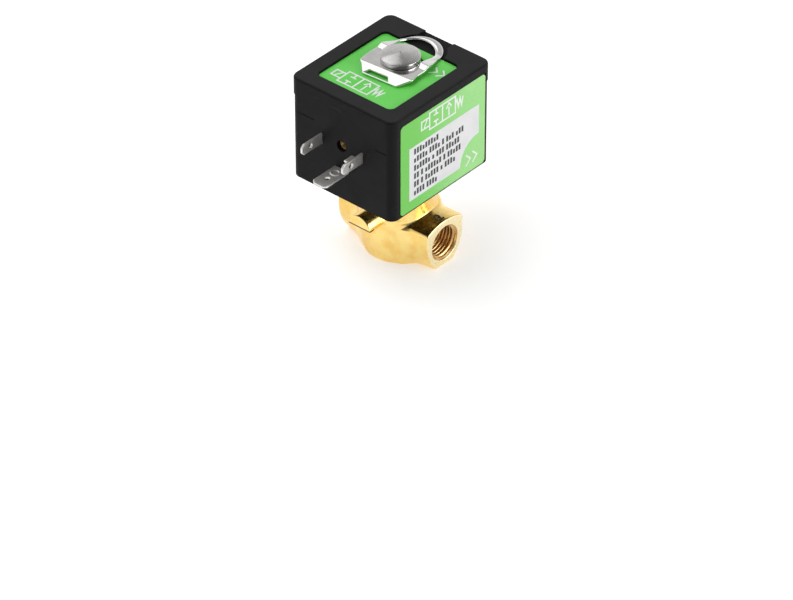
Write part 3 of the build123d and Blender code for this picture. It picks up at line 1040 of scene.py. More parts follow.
# ---- Brass body and solenoid base ---------------------------------------------------------------
@dataclass
class ForgedBody:
    """The forged brass body, with its threaded ports and the numbers laid over them.

    A name that ends in _r is a radius, and one that ends in edge_r rounds an edge.
    """

    cell: float = 0.3
    port_face_x: float = 20.15
    port_z: float = 9.2
    port_half: float = 9.3
    corner_rise: float = 7.0
    crown_rise: float = 9.3
    side_drop: float = 3.0
    sole_half: float = 4.2
    root_x: float = 9.0
    root_half: float = 11.2
    root_sole: float = 8.6
    lower_corner_r: float = 3.4
    belly_r: float = 14.2
    belly_waist_z: float = 8.0
    belly_sole_r: float = 12.9
    belly_top_z: float = 18.0
    belly_shoulder_r: float = 2.0
    turret_r: float = 12.6
    turret_x: float = -0.6
    turret_y: float = -0.75
    turret_flare: float = 1.1
    flare_z: float = 25.0
    turret_top_z: float = 28.5
    arch_r: float = 7.0
    arch_x: float = 14.6
    arch_rise: float = 1.2
    lug_r: float = 5.0
    lug_z: float = 17.2
    lug_flat_z: float = 18.2
    lug_root_r: float = 1.3
    sole_r: float = 0.8
    strip_height: float = 0.65
    strip_sunk: float = 0.1
    lug_reach: float = 21.5
    gland_r: float = 10.1
    gland_z: float = 20.8
    chamber_r: float = 8.5
    chamber_z: float = 15.2
    seat_r: float = 2.85
    seat_z: float = 17.0
    orifice_r: float = 2.25
    passage_r: float = 2.6
    feed_x: float = -6.0
    feed_r: float = 1.8
    hole_y: float = 8.5
    hole_r: float = 1.65
    hole_depth: float = 6.0
    thread_r: float = 5.7225
    thread_major_r: float = 6.5785
    thread_pitch: float = 1.337
    thread_depth: float = 10.4
    liner_r: float = 6.7
    liner_sunk: float = 0.32
    forge_r: float = 2.4
    root_r: float = 0.5
    root_low_z: float = 15.0
    root_high_z: float = 16.8
    edge_r: float = 0.45
    crown_edge_r: float = 0.8
    turret_edge_r: float = 0.5
    lug_edge_r: float = 0.4
    flat_edge_r: float = 0.15
    arch_edge_r: float = 1.0
    bore_edge_r: float = 0.25
    hole_edge_r: float = 0.15
    seat_root: float = 1.0
    feed_over: float = 0.5
    liner_grip: float = 0.1
    liner_lip: float = 0.02
    liner_segments: int = 160
    number_height: float = 3.4
    number_thickness: float = 0.35
    number_x: float = 17.2
    number_sunk: float = 0.24
    net_low: tuple[float, float, float] = (-21.0, -22.4, -0.9)
    net_high: tuple[float, float, float] = (21.0, 15.2, 29.4)

    def crown_arc(self) -> tuple[float, float]:
        """Radius of the boss's arched top, and the height of its centre.

        Returns:
            Both in millimetres; the arc passes through the crown and the two upper corners.
        """
        rise = self.crown_rise - self.corner_rise
        radius = (self.port_half**2 + rise**2) / (2 * rise)
        return radius, self.port_z + self.crown_rise - radius

    def boss(self, p: Array) -> Array:
        """Distance to both port bosses.

        At each X the outline is the common part of an arched top, two upright sides that turn in
        below the axis, and two slanting lower sides; its lower corners move in a straight line
        from the root to the face. The two faces close it.

        Args:
            p: Points as an (n, 3) array.

        Returns:
            Signed distances.
        """
        reach = np.abs(p[:, 0])
        side = np.abs(p[:, 1])
        z = p[:, 2]
        share = np.clip((reach - self.root_x) / (self.port_face_x - self.root_x), 0.0, 1.0)
        turn = (self.root_half + (self.port_half - self.root_half) * share, self.port_z - self.side_drop)
        foot = (self.root_sole + (self.sole_half - self.root_sole) * share, 0.0)
        arch_r, centre_z = self.crown_arc()
        top = np.hypot(p[:, 1], z - centre_z) - arch_r
        corner = (self.port_half, self.port_z + self.corner_rise)
        upright = half_plane(side, z, corner, turn)
        lower = half_plane(side, z, turn, foot)
        flank = rounded_common(upright, lower, self.lower_corner_r)
        shape = rounded_common(flank, top, self.crown_edge_r)
        return rounded_common(shape, reach - self.port_face_x, self.edge_r)

    def forging(self, p: Array) -> Array:
        """Distance to the outside of the forging.

        The belly is an arc turned about Z that is widest at its waist. The turret is a round bar
        off that axis, whose foot flares with the square of the depth under flare_z. The lug is what
        lies over a flat of a round bar along Y; a thin ledge, sunk a little, lies under the flat.
        Belly and bosses share one sole. All run into each other with hollow fillets; the one
        between belly and bosses shrinks with height, and each boss has a round hollow under it.

        Args:
            p: Points as an (n, 3) array.

        Returns:
            Signed distances.
        """
        x, y, z = p.T
        out = np.hypot(x, y)
        drop = self.belly_r - self.belly_sole_r
        arc = (self.belly_waist_z**2 + drop**2) / (2 * drop)
        round_side = np.hypot(out - self.belly_r + arc, z - self.belly_waist_z) - arc
        belly = np.where(z < self.belly_waist_z, round_side, out - self.belly_r)
        belly = rounded_common(belly, z - self.belly_top_z, self.belly_shoulder_r)
        flare = np.clip((self.flare_z - z) / (self.flare_z - self.belly_top_z), 0.0, 1.0)
        turret = np.hypot(x - self.turret_x, y - self.turret_y) - self.turret_r
        turret = turret - self.turret_flare * flare * flare
        turret = rounded_common(turret, z - self.turret_top_z, self.turret_edge_r)
        turret = rounded_common(turret, self.belly_waist_z - z, self.turret_edge_r)
        bar = np.hypot(x, z - self.lug_z) - self.lug_r
        lug = rounded_common(bar, -y - self.lug_reach, self.lug_edge_r)
        lug = rounded_common(lug, self.lug_flat_z - z, self.flat_edge_r)
        # This ledge carries the painted shadow line that the brass finish puts under the lug.
        strip = np.maximum(bar, -y - self.lug_reach) + self.strip_sunk
        strip = np.maximum(strip, self.lug_flat_z - self.strip_height - z)
        lug = np.maximum(np.minimum(lug, strip), y)
        share = smoothstep(z, self.root_low_z, self.root_high_z)
        blend = self.forge_r + (self.root_r - self.forge_r) * share
        shape = rounded_common(rounded_union(belly, self.boss(p), blend), -z, self.sole_r)
        shape = rounded_union(shape, turret, self.root_r)
        shape = rounded_union(shape, lug, self.lug_root_r)
        arches = np.hypot(np.abs(x) - self.arch_x, z - self.arch_rise + self.arch_r) - self.arch_r
        return rounded_cut(shape, arches, self.arch_edge_r)

    def body_field(self, p: Array) -> Array:
        """Distance to the body with its bores.

        The chamber and the gland are round about Z, with the seat standing in the chamber; the
        passages and the threaded bores are round about the axis of the ports.

        Args:
            p: Points as an (n, 3) array.

        Returns:
            Signed distances.
        """
        x, y, z = p.T
        out = np.hypot(x, y)
        off = np.hypot(y, z - self.port_z)
        depth = self.port_face_x - np.abs(x)
        shape = self.forging(p)
        gland = np.maximum(out - self.gland_r, self.gland_z - z)
        chamber = np.maximum(out - self.chamber_r, self.chamber_z - z)
        shape = np.maximum(shape, -np.minimum(gland, chamber))
        seat = np.maximum(out - self.seat_r, z - self.seat_z)
        shape = np.minimum(shape, np.maximum(seat, self.chamber_z - self.seat_root - z))
        shape = np.maximum(shape, -np.maximum(out - self.orifice_r, self.port_z - z))
        shape = np.maximum(shape, -np.maximum(off - self.passage_r, np.minimum(-x, x - self.feed_x)))
        feed = np.maximum(np.hypot(x - self.feed_x, y) - self.feed_r, self.port_z - z)
        shape = np.maximum(shape, -np.maximum(feed, z - self.chamber_z - self.feed_over))
        bore = np.maximum(off - self.liner_r + self.liner_grip, depth - self.thread_depth)
        shape = rounded_cut(shape, bore, self.bore_edge_r)
        holes = np.maximum(np.hypot(x, np.abs(y) - self.hole_y) - self.hole_r, z - self.hole_depth)
        return rounded_cut(shape, holes, self.hole_edge_r)

    def build_body(self, finish: bpy.types.Material) -> None:
        """Nets the forging and puts it in the place of the CAD body.

        Args:
            finish: Its finish.
        """
        shape = surface_net(self.body_field, self.net_low, self.net_high, self.cell)
        build_piece("forged_body", shape, finish, 50, Body.VALVE, "brass", ["valve_body"])

    def build_thread(self, side: Side, finish: bpy.types.Material) -> None:
        """The threaded lining of one port.

        Args:
            side: The port.
            finish: Its finish.
        """
        thread = ThreadedBush(
            minor_r=self.thread_r,
            major_r=self.thread_major_r,
            outer_r=self.liner_r,
            pitch=self.thread_pitch,
            length=self.thread_depth - self.liner_sunk,
            mouth_r=self.liner_r - self.liner_lip,
            segments=self.liner_segments,
        )
        points, quads = thread.surface()
        depth, u, v = points.T
        sign = side.value
        x = sign * (self.port_face_x - self.liner_sunk - depth)
        placed = np.column_stack([x, -sign * u, v + self.port_z])
        name = f"port_thread_{side.name.lower()}"
        build_piece(name, (placed, quads), finish, 60, Body.VALVE, "brass")

    def build_number(self, side: Side, finish: bpy.types.Material) -> None:
        """The port's number, 2 for the outlet and 1 for the inlet, laid on the boss's arched top.

        Args:
            side: The port.
            finish: Its finish.
        """
        number = "2" if side is Side.RIGHT else "1"
        flat, triangles = number_mesh(number, self.number_height, self.number_thickness)
        across, up, height = flat.T
        y = side.value * across
        arch_r, centre_z = self.crown_arc()
        top = centre_z + np.sqrt(arch_r**2 - y**2)
        points = np.column_stack([side.value * (self.number_x - up), y, top + height - self.number_sunk])
        name = f"port_number_{side.name.lower()}"
        build_piece(name, (points, triangles), finish, 40, Body.VALVE, "brass")

    def build(self) -> None:
        """Builds the body, both threads and both numbers."""
        brass = FORGED_BRASS.material()
        thread = THREAD_BRASS.material()
        stamp = STAMP.material()
        self.build_body(brass)
        for side in Side:
            self.build_thread(side, thread)
            self.build_number(side, stamp)


# Height and added boldness of a number, as shares of the font's size and of that height.
NUMBER_SHARE = 0.7
NUMBER_WEIGHT = 0.03


def number_mesh(text: str, height: float, thickness: float) -> Shape:
    """A number as a closed slab: its outline filled as triangles, then given walls.

    Args:
        text: The number.
        height: Height of the number in millimetres.
        thickness: Thickness of the slab in millimetres, upwards from zero.

    Returns:
        The vertices, centred in X and Y, and the faces as triangles.
    """
    curve = bpy.data.curves.new("number_outline", "FONT")
    curve.body = text
    curve.size = height / NUMBER_SHARE
    curve.extrude = thickness / 2
    curve.offset = height * NUMBER_WEIGHT
    curve.align_x = "CENTER"
    curve.align_y = "CENTER"
    outline = bpy.data.objects.new("number_outline", curve)
    mesh = bpy.data.meshes.new_from_object(outline)
    bpy.data.objects.remove(outline)
    mesh.calc_loop_triangles()
    points = np.empty(len(mesh.vertices) * 3)
    mesh.vertices.foreach_get("co", points)
    triangles = np.empty(len(mesh.loop_triangles) * 3, dtype=np.int32)
    mesh.loop_triangles.foreach_get("vertices", triangles)
    bpy.data.meshes.remove(mesh)
    points = points.reshape(-1, 3)
    points[:, :2] -= (points[:, :2].min(axis=0) + points[:, :2].max(axis=0)) / 2
    points[:, 2] += thickness / 2
    return points, triangles.reshape(-1, 3)


@dataclass
class ThreadedBush:
    """A round bush with an internal thread, along its own depth from the mouth inwards.

    The crest is the share of the pitch that is flat at the crests; the roots have as much.
    """

    minor_r: float
    major_r: float
    outer_r: float
    pitch: float
    length: float
    mouth_r: float
    segments: int
    step: float = 0.09
    crest: float = 0.12

    def surface(self) -> Shape:
        """The bush as one closed skin.

        Its bore has the radius of a triangle wave of depth over pitch, less the share of the turn,
        cut flat at crest and root, and opens to the mouth in a 45 degree funnel; the thread fades
        over the last pitch. The skin goes in along the bore and back along the plain outside.

        Returns:
            Vertices as (depth, u, v) and the quads between them.
        """
        depth = np.arange(0.0, self.length, self.step)
        angle = np.arange(self.segments) * 2 * math.pi / self.segments
        turn, along = np.meshgrid(angle / (2 * math.pi), depth, indexing="ij")
        wave = np.abs(2 * ((along / self.pitch - turn) % 1.0) - 1)
        tooth = np.clip((wave - self.crest) / (1 - 2 * self.crest), 0.0, 1.0)
        fade_and_glare = np.clip((self.length - along) / self.pitch, 0.0, 1.0)
        bore = self.minor_r + (self.major_r - self.minor_r) * tooth * fade_and_glare
        bore = np.maximum(bore, self.mouth_r - along)
        radius = np.concatenate([bore, np.full((self.segments, 2), self.outer_r)], axis=1)
        reach = np.concatenate([depth, [self.length - self.step, 0.0]])
        ring = angle[:, None]
        points = np.stack(
            [np.broadcast_to(reach, radius.shape), radius * np.cos(ring), radius * np.sin(ring)], axis=-1
        )
        return points.reshape(-1, 3), grid_quads(self.segments, radius.shape[1], True, True)


@dataclass
class SolenoidBase:
    """The tube's stopper with its turned head, and the parts under the coil.

    The ease is how far from each corner of the stopper's profile its rounding starts, and uv_length
    the length that one unit of U stands for.
    """

    plug_r: float = 6.58
    shoulder_r: float = 6.9
    neck_r: float = 5.6
    head_r: float = 6.95
    head_thickness: float = 1.65
    head_chamfer: float = 0.5
    chamfer_rise: float = 0.3
    chamfer_rows: int = 12
    head_segments: int = 192
    uv_length: float = 40.0
    crown: float = 1.0
    dimple_r: float = 0.45
    dimple_lip: float = 0.02
    dimple_wall: float = 0.3
    dimple_depth: float = 0.42
    bend_rows: int = 6
    ease: tuple[float, ...] = (
        0, 0.1, 0.1, 0.1, 0.1, 0.2, 0.05, 0.05, 0.2, 0.15, 0.15, 0.2, 0.12, 0.3, 0.1, 0.12, 0
    )
    label_floor_z: float = 73.3
    groove_low_z: float = 74.6
    groove_high_z: float = 75.6
    ring_inner_r: float = 4.2
    ring_outer_r: float = 5.1
    ring_depth: float = 1.6
    wire_r: float = 0.3
    wire_sides: int = 12
    spring_turns: float = 2.5
    spring_rows: int = 181
    core_travel: float = 1.6

    def head_profile(self) -> Array:
        """The stopper's profile from the middle of its pole face to the middle of its head.

        Returns:
            Rows of radius and height.
        """
        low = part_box("fixed_core")[0][2] / MM
        top = self.groove_high_z + self.head_thickness
        crown = top + self.crown
        corners = np.array(
            [
                (0.0, low),
                (self.ring_inner_r, low),
                (self.ring_inner_r, low + self.ring_depth),
                (self.ring_outer_r, low + self.ring_depth),
                (self.ring_outer_r, low),
                (self.plug_r, low),
                (self.plug_r, self.label_floor_z),
                (self.shoulder_r, self.label_floor_z),
                (self.shoulder_r, self.groove_low_z),
                (self.neck_r, self.groove_low_z),
                (self.neck_r, self.groove_high_z),
                (self.head_r, self.groove_high_z),
                (self.head_r, top),
                (self.head_r - self.head_chamfer, top + self.chamfer_rise),
                (self.dimple_r, crown - self.dimple_lip),
                (self.dimple_r / 2, crown - self.dimple_wall),
                (0.0, crown - self.dimple_depth),
            ]
        )
        return eased_profile(corners, np.array(self.ease), self.bend_rows)

    def build_head(self, finish: bpy.types.Material) -> None:
        """Turns the stopper and gives it a UV map that runs along the profile.

        The chamfer becomes one straight run of rows, in the place of the bend at its upper corner.
        U grows with the radius and falls with the height, and V is the share of the turn, so that
        the tangent points away from the axis on the head's face.

        Args:
            finish: Its finish.
        """
        profile = self.head_profile()
        rim = -3 * self.bend_rows - 2
        face = -2 * self.bend_rows - 2
        chamfer = np.linspace(profile[rim], profile[face], self.chamfer_rows)
        profile = np.concatenate([profile[:rim], chamfer, profile[face + 1 :]])
        quads = grid_quads(len(profile), self.head_segments, False, True)
        piece = add_piece("turned_head", (turned(profile, self.head_segments), quads), finish)
        mesh = piece.data
        place_of = np.empty(len(mesh.vertices) * 3)
        mesh.vertices.foreach_get("co", place_of)
        corner = np.empty(len(mesh.loops), dtype=np.int32)
        mesh.loops.foreach_get("vertex_index", corner)
        x, y, z = place_of.reshape(-1, 3)[corner].T / MM
        along = (np.hypot(x, y) - z) / self.uv_length
        uv = np.column_stack([along, np.arctan2(y, x) / (2 * math.pi)])
        mesh.uv_layers.new(name="turning").data.foreach_set("uv", uv.ravel())
        crease(piece, 35)
        place(piece, Body.VALVE, "stainless", ["fixed_core"])

    def build_spring(self, finish: bpy.types.Material) -> None:
        """Winds the core spring, which rides on the core.

        The wire's middle runs round Z at a steady climb; a point of its skin lies off the middle by
        the wire's radius times (cosine, sine) outwards and upwards. The ends close to points.

        Args:
            finish: Its finish.
        """
        corners = np.array(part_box("core_spring")) / MM
        low, high = corners[:, 2]
        middle_r = corners[1, 0] - self.wire_r
        share = np.linspace(0.0, 1.0, self.spring_rows)
        angle = 2 * math.pi * self.spring_turns * share[:, None]
        wire = self.wire_r * np.minimum(1.0, np.minimum(share, 1 - share) * self.spring_rows)[:, None]
        round_wire = np.arange(self.wire_sides) * 2 * math.pi / self.wire_sides
        out = middle_r + wire * np.cos(round_wire)
        middle_z = low + self.wire_r + (high - low - 2 * self.wire_r) * share[:, None]
        height = middle_z + wire * np.sin(round_wire)
        points = np.stack([out * np.cos(angle), out * np.sin(angle), height], axis=2).reshape(-1, 3)
        quads = grid_quads(self.spring_rows, self.wire_sides, False, True)
        piece = add_piece("wound_spring", (points, quads), finish)
        place(piece, Body.PLUNGER, "spring_steel", ["core_spring"])
        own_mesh(piece)

    def build(self) -> None:
        """Builds the head, the spring, the nut and the washer, and dresses what the tube holds."""
        self.build_head(TURNED_STEEL.material())
        plated = PLATED.material()
        place(softened_copy("base_nut", "clamp_nut", 0.25, plated), Body.VALVE, "plated_steel", ["base_nut"])
        stainless = STAINLESS.material()
        dress("core_tube", stainless)
        dress("core", stainless)
        dress("spring_washer", SPRING.material())
        self.build_spring(SPRING.material())
        dress("shading_ring", COPPER.material())
        rubber = RUBBER.material()
        dress("body_o_ring", rubber)
        dress("core_disc", rubber)


# ---- Retaining clip -----------------------------------------------------------------------------
@dataclass
class SpringClip:
    """The polished spring clip: foot with a window, plate, step, falling arms and pull loop.

    It is a flat blank that is bent and then turned. The turn and slide_turn are in degrees: how far
    the clip and its slide stand off Y. The slopes and the skew are tangents.
    """

    cell: float = 0.15
    turn: float = -1.5
    slide_turn: float = 4.5
    foot_skew: float = 0.105
    sheet: float = 0.76
    edge_r: float = 0.14
    loop_edge_r: float = 0.33
    bend_r: float = 0.3
    half_width: float = 10.85
    front: float = 7.9
    foot_run: float = 4.6
    foot_shift: float = 1.5
    foot_taper: float = 3.6
    toe_lean: float = 0.5
    step_start: float = 0.4
    step_run: float = 1.8
    step_rise: float = 0.9
    shoulder_y: float = 3.4
    bend_y: float = 11.6
    loop_x: float = -0.35
    loop_y: float = 8.5
    loop_slope: float = 0.08
    loop_r: float = 9.0
    eye_y: float = 7.6
    eye_r: float = 7.5
    slot_half: float = 5.95
    neck_half: float = 7.3
    window_top_half: float = 3.7
    window_low_half: float = 5.4
    window_margin: float = 2.3
    window_strip: float = 0.5
    window_x: float = -1.5
    loop_crown: float = 0.35
    foot_z: float = 73.55
    plate_z: float = 74.7
    loop_z: float = 73.55
    foot_lift: float = 0.4
    toe_edge_r: float = 0.3
    side_edge_r: float = 0.4
    arm_edge_r: float = 0.6
    window_edge_r: float = 0.3
    keyhole_edge_r: float = 0.05
    slot_overlap: float = 0.2
    least_half: float = 0.3
    net_low: tuple[float, float, float] = (-11.4, -13.1, -1.1)
    net_high: tuple[float, float, float] = (11.4, 18.4, 1.1)

    def off_slide(self, x: Array, y: Array) -> Array:
        """How far in X points of the blank lie off the line that the clip slides along."""
        return x + y * math.tan(math.radians(self.slide_turn - self.turn))

    def blank(self, x: Array, y: Array) -> Array:
        """Distance to the clip's outline seen from above, with its window and keyhole cut out.

        The keyhole lies along the clip's slide, so the head ends up in the middle of the eye.

        Args:
            x: First coordinate in the blank.
            y: Second coordinate in the blank.

        Returns:
            Signed distances.
        """
        side = np.abs(x)
        toe = -self.front - self.foot_run
        toe_half = self.half_width - self.foot_taper
        shape = np.maximum(toe - y, y - self.loop_y)
        lean = x + np.where(x < 0, -self.toe_lean, 0.0) * np.clip(-self.front - y, 0.0, 1.0)
        slant = half_plane(np.abs(lean), y, (self.half_width, -self.front), (toe_half, toe))
        taper = half_plane(side, y, (self.loop_r, self.loop_y), (self.half_width, self.shoulder_y))
        shape = rounded_common(shape, slant, self.toe_edge_r)
        shape = rounded_common(shape, side - self.half_width, self.side_edge_r)
        shape = rounded_common(shape, taper, self.arm_edge_r)
        shape = np.minimum(shape, np.hypot(x - self.loop_x, y - self.loop_y) - self.loop_r)
        sill = -self.front - self.window_margin
        wing = np.abs(x - self.window_x)
        edge = half_plane(wing, y, (self.window_top_half, sill), (self.window_low_half, toe))
        window = np.maximum(np.maximum(edge, y - sill), toe + self.window_strip - y)
        off = self.off_slide(x, y)
        neck = np.maximum(np.abs(off) - self.neck_half, np.maximum(self.step_start - y, y - self.eye_y))
        slot = np.maximum(-y, y - self.step_start - self.slot_overlap)
        slot = np.maximum(np.abs(off) - self.slot_half, slot)
        keyhole = np.minimum(neck, np.minimum(slot, np.hypot(off, y) - self.slot_half))
        keyhole = np.minimum(keyhole, np.hypot(off, y - self.eye_y) - self.eye_r)
        shape = rounded_cut(shape, window, self.window_edge_r)
        return rounded_cut(shape, keyhole, self.keyhole_edge_r)

    def field(self, p: Array) -> Array:
        """Distance to the blank, whose edges get rounder and whose sheet gets crowned at the loop.

        The crown is a parabola across the ring between the loop's outer edge and the eye, and it
        rises with the ring's width.

        Args:
            p: Points of the blank as an (n, 3) array.

        Returns:
            Signed distances.
        """
        x, y, z = p.T
        share = smoothstep(y, self.shoulder_y, self.bend_y)
        edge = self.edge_r + (self.loop_edge_r - self.edge_r) * share
        outer = np.hypot(x - self.loop_x, y - self.loop_y) - self.loop_r
        inner = self.eye_r - np.hypot(self.off_slide(x, y), y - self.eye_y)
        half = np.maximum(-(outer + inner) / 2, self.least_half)
        across = np.clip((outer - inner) / 2 / half, -1.0, 1.0)
        lift = self.loop_crown * share * half / 2 * (0.5 - across * across)
        return rounded_common(self.blank(x, y), np.abs(z - lift) - self.sheet / 2, edge)

    def middle(self, y: Array) -> tuple[Array, Array]:
        """Height of the sheet's middle over the blank, and its slope.

        It is a line of straight runs; at each bend the slope changes by its own amount along a
        hyperbola, so the height is the sum of the changes times (t + root of t squared plus the
        bend squared) / 2, with t the way past the bend.

        Args:
            y: Second coordinate in the blank.

        Returns:
            The heights and the slopes.
        """
        step_end = self.step_start + self.step_run
        knots = np.array([-self.front, self.step_start, step_end, self.bend_y])
        upper = self.plate_z + self.step_rise
        slopes = np.array(
            [
                (self.plate_z - self.foot_z) / self.foot_run,
                0.0,
                self.step_rise / self.step_run,
                (self.loop_z - upper) / (self.bend_y - step_end),
                self.loop_slope,
            ]
        )
        past = y[:, None] - knots
        root = np.hypot(past, self.bend_r)
        change = np.diff(slopes)
        start = self.foot_z + self.foot_lift + slopes[0] * (y + self.front + self.foot_run)
        height = start + ((past + root) / 2 * change).sum(axis=1)
        slope = slopes[0] + ((1 + past / root) / 2 * change).sum(axis=1)
        return height, slope

    def formed(self, p: Array) -> Array:
        """Bends the flat blank and turns it about the tube's axis.

        Each point moves from the sheet's middle along the middle's normal by its height in the
        blank.

        Args:
            p: Points of the flat blank as an (n, 3) array.

        Returns:
            The same points on the formed clip.
        """
        height, slope = self.middle(p[:, 1])
        length = np.hypot(slope, 1.0)
        share = np.clip(-p[:, 1] / self.front, 0.0, 1.0)
        y = p[:, 1] - p[:, 2] * slope / length + self.foot_skew * share * p[:, 0]
        x = p[:, 0] + self.foot_shift * np.clip(-p[:, 1] / self.front - 0.5, 0.0, 1.0)
        z = height + p[:, 2] / length
        angle = math.radians(self.turn)
        turned_x = x * math.cos(angle) - y * math.sin(angle)
        turned_y = x * math.sin(angle) + y * math.cos(angle)
        return np.column_stack([turned_x, turned_y, z])

    def build(self) -> None:
        """Nets the blank, forms it and puts it in the place of the CAD clip."""
        points, quads = surface_net(self.field, self.net_low, self.net_high, self.cell)
        steel = CLIP_STEEL.material()
        shape = (self.formed(points), quads)
        build_piece("formed_clip", shape, steel, 60, Body.CLIP, "clip_steel", ["retaining_clip"])


# ---- Coil ---------------------------------------------------------------------------------------
@dataclass
class PlugBlades:
    """The two upright blades, the flat earth blade and the threaded bush between them.

    Reaches and starts are counted from the plug face, at Y = -front, and heights from coil_z.
    """

    cell: float = 0.16
    front: float = 30.0
    coil_z: float = 34.3
    sheet: float = 0.8
    edge_r: float = 0.22
    root: float = 7.0
    spacing: float = 18.0
    height: float = 4.2
    reach: float = 10.2
    low: float = 18.5
    tip: float = 1.2
    hole_r: float = 0.85
    hole_reach: float = 5.9
    tab_start: float = 3.0
    tab_length: float = 4.1
    tab_width: float = 1.4
    earth_low: float = 11.4
    earth_width: float = 6.3
    earth_reach: float = 12.1
    earth_hole_reach: float = 7.3
    emboss_r: float = 1.9
    emboss_inner_r: float = 1.1
    emboss_height: float = 0.25
    emboss_reach: float = 3.1
    leg_back: float = -14.2
    foot_front: float = -13.0
    foot_low: float = 36.7
    foot_high: float = 38.9
    screw_z: float = 21.3
    bush_start: float = 1.6
    bush_length: float = 8.0
    bush_r: float = 2.5
    bush_thread_r: float = 1.25
    bush_major_r: float = 1.5
    bush_pitch: float = 0.5
    bush_mouth_r: float = 1.7
    bush_segments: int = 64
    bush_step: float = 0.06
    tip_edge_r: float = 0.25
    hole_edge_r: float = 0.05
    tab_overlap: float = 0.3
    tab_root_r: float = 0.2
    emboss_edge_r: float = 0.18
    emboss_root_r: float = 0.15
    overlap: float = 0.5
    margin: float = 0.5
    net_inward: float = 2.4
    net_outward: float = 1.2
    net_half: float = 3.8
    net_over: float = 0.8

    def strip(self, across: Array, flat: Array, y: Array, width: float, reach: float, hole: float) -> Array:
        """Distance to a blade with a chamfered tip and one hole.

        Args:
            across: Distance from the blade's middle line.
            flat: Distance from the middle of its sheet.
            y: Place along Y.
            width: Width of the blade.
            reach: How far it stands out of the housing.
            hole: How far out its hole lies.

        Returns:
            Signed distances.
        """
        end = -self.front - reach
        side = np.abs(across)
        half = width / 2
        tip = half_plane(side, y, (half, end + self.tip), (half - self.tip, end))
        shape = rounded_common(np.maximum(side - half, end - y), tip, self.tip_edge_r)
        shape = np.maximum(shape, y - self.root + self.front)
        bore = np.hypot(across, y + self.front + hole) - self.hole_r
        shape = rounded_cut(shape, bore, self.hole_edge_r)
        return rounded_common(shape, np.abs(flat) - self.sheet / 2, self.edge_r)

    def power_field(self, p: Array, side: Side) -> Array:
        """Distance to one upright blade; the right one has a small tab folded from its top edge.

        Args:
            p: Points as an (n, 3) array.
            side: Which of the two blades.

        Returns:
            Signed distances.
        """
        x = p[:, 0] - side.value * self.spacing / 2
        middle = self.coil_z + self.low + self.height / 2
        shape = self.strip(p[:, 2] - middle, x, p[:, 1], self.height, self.reach, self.hole_reach)
        if side is Side.LEFT:
            return shape
        far = -self.front - self.tab_start
        top = self.coil_z + self.low + self.height
        edge = self.spacing / 2 - self.sheet / 2
        low = (edge - self.tab_width, far - self.tab_length, top - self.sheet)
        tab = rounded_box(p, low, (edge + self.tab_overlap, far, top), self.edge_r)
        return rounded_union(shape, tab, self.tab_root_r)

    def earth_field(self, p: Array) -> Array:
        """Distance to the earth blade, with its raised ring and its crank down to the yoke.

        Args:
            p: Points as an (n, 3) array.

        Returns:
            Signed distances.
        """
        low = self.coil_z + self.earth_low
        half = self.earth_width / 2
        y = p[:, 1]
        flat = p[:, 2] - low - self.sheet / 2
        shape = self.strip(p[:, 0], flat, y, self.earth_width, self.earth_reach, self.earth_hole_reach)
        from_ring = np.hypot(p[:, 0], y + self.front + self.emboss_reach)
        ring = np.abs(from_ring - (self.emboss_r + self.emboss_inner_r) / 2)
        ring = ring - (self.emboss_r - self.emboss_inner_r) / 2
        rise = np.abs(flat) - self.sheet / 2 - self.emboss_height
        ring = rounded_common(ring, rise, self.emboss_edge_r)
        shape = rounded_union(shape, np.maximum(ring, -flat), self.emboss_root_r)
        back = self.leg_back - self.sheet
        arm_low = (-half, self.root - self.front - self.overlap, low)
        leg_high = (half, self.leg_back, low + self.sheet)
        leg_low = (-half, back, self.foot_low)
        foot_high = (half, self.foot_front, self.foot_high)
        for near, far in ((arm_low, leg_high), (leg_low, leg_high), (leg_low, foot_high)):
            shape = np.minimum(shape, rounded_box(p, near, far, self.edge_r))
        return shape

    def build_bush(self, finish: bpy.types.Material) -> None:
        """The threaded bush, from the end of the screw hole's mouth inwards.

        Args:
            finish: Its finish.
        """
        thread = ThreadedBush(
            minor_r=self.bush_thread_r,
            major_r=self.bush_major_r,
            outer_r=self.bush_r,
            pitch=self.bush_pitch,
            length=self.bush_length,
            mouth_r=self.bush_mouth_r,
            segments=self.bush_segments,
            step=self.bush_step,
        )
        points, quads = thread.surface()
        depth, u, v = points.T
        placed = np.column_stack([u, depth + self.bush_start - self.front, v + self.coil_z + self.screw_z])
        build_piece("screw_bush", (placed, quads), finish, 60, Body.COIL, "insert_brass", ["screw_insert"])

    def build(self) -> None:
        """Nets the three blades and turns the bush."""
        tinned = TINNED.material()
        middle = self.coil_z + self.low
        for side, node in ((Side.LEFT, "power_terminal_left"), (Side.RIGHT, "power_terminal_right")):
            x = side.value * self.spacing / 2
            low = (x - self.net_inward, -self.front - self.reach - self.margin, middle - self.margin)
            far = self.root - self.front + self.margin
            high = (x + self.net_outward, far, middle + self.height + self.margin)
            shape = surface_net(lambda p: self.power_field(p, side), low, high, self.cell)
            build_piece(f"blade_{side.name.lower()}", shape, tinned, 60, Body.COIL, "tinned_brass", [node])
        near = -self.front - self.earth_reach - self.margin
        top = self.coil_z + self.earth_low + self.sheet + self.net_over
        low = (-self.net_half, near, self.foot_low - self.margin)
        high = (self.net_half, self.foot_front + self.margin, top)
        shape = surface_net(self.earth_field, low, high, self.cell)
        build_piece("earth_blade", shape, tinned, 60, Body.COIL, "tinned_brass", ["ground_terminal"])
        # The bush's dark brass is painted shade inside the screw hole.
        self.build_bush(SHADED_BUSH_BRASS.material())


class Panel(Enum):
    """The two printed labels."""

    TOP = "top"
    SIDE = "side"


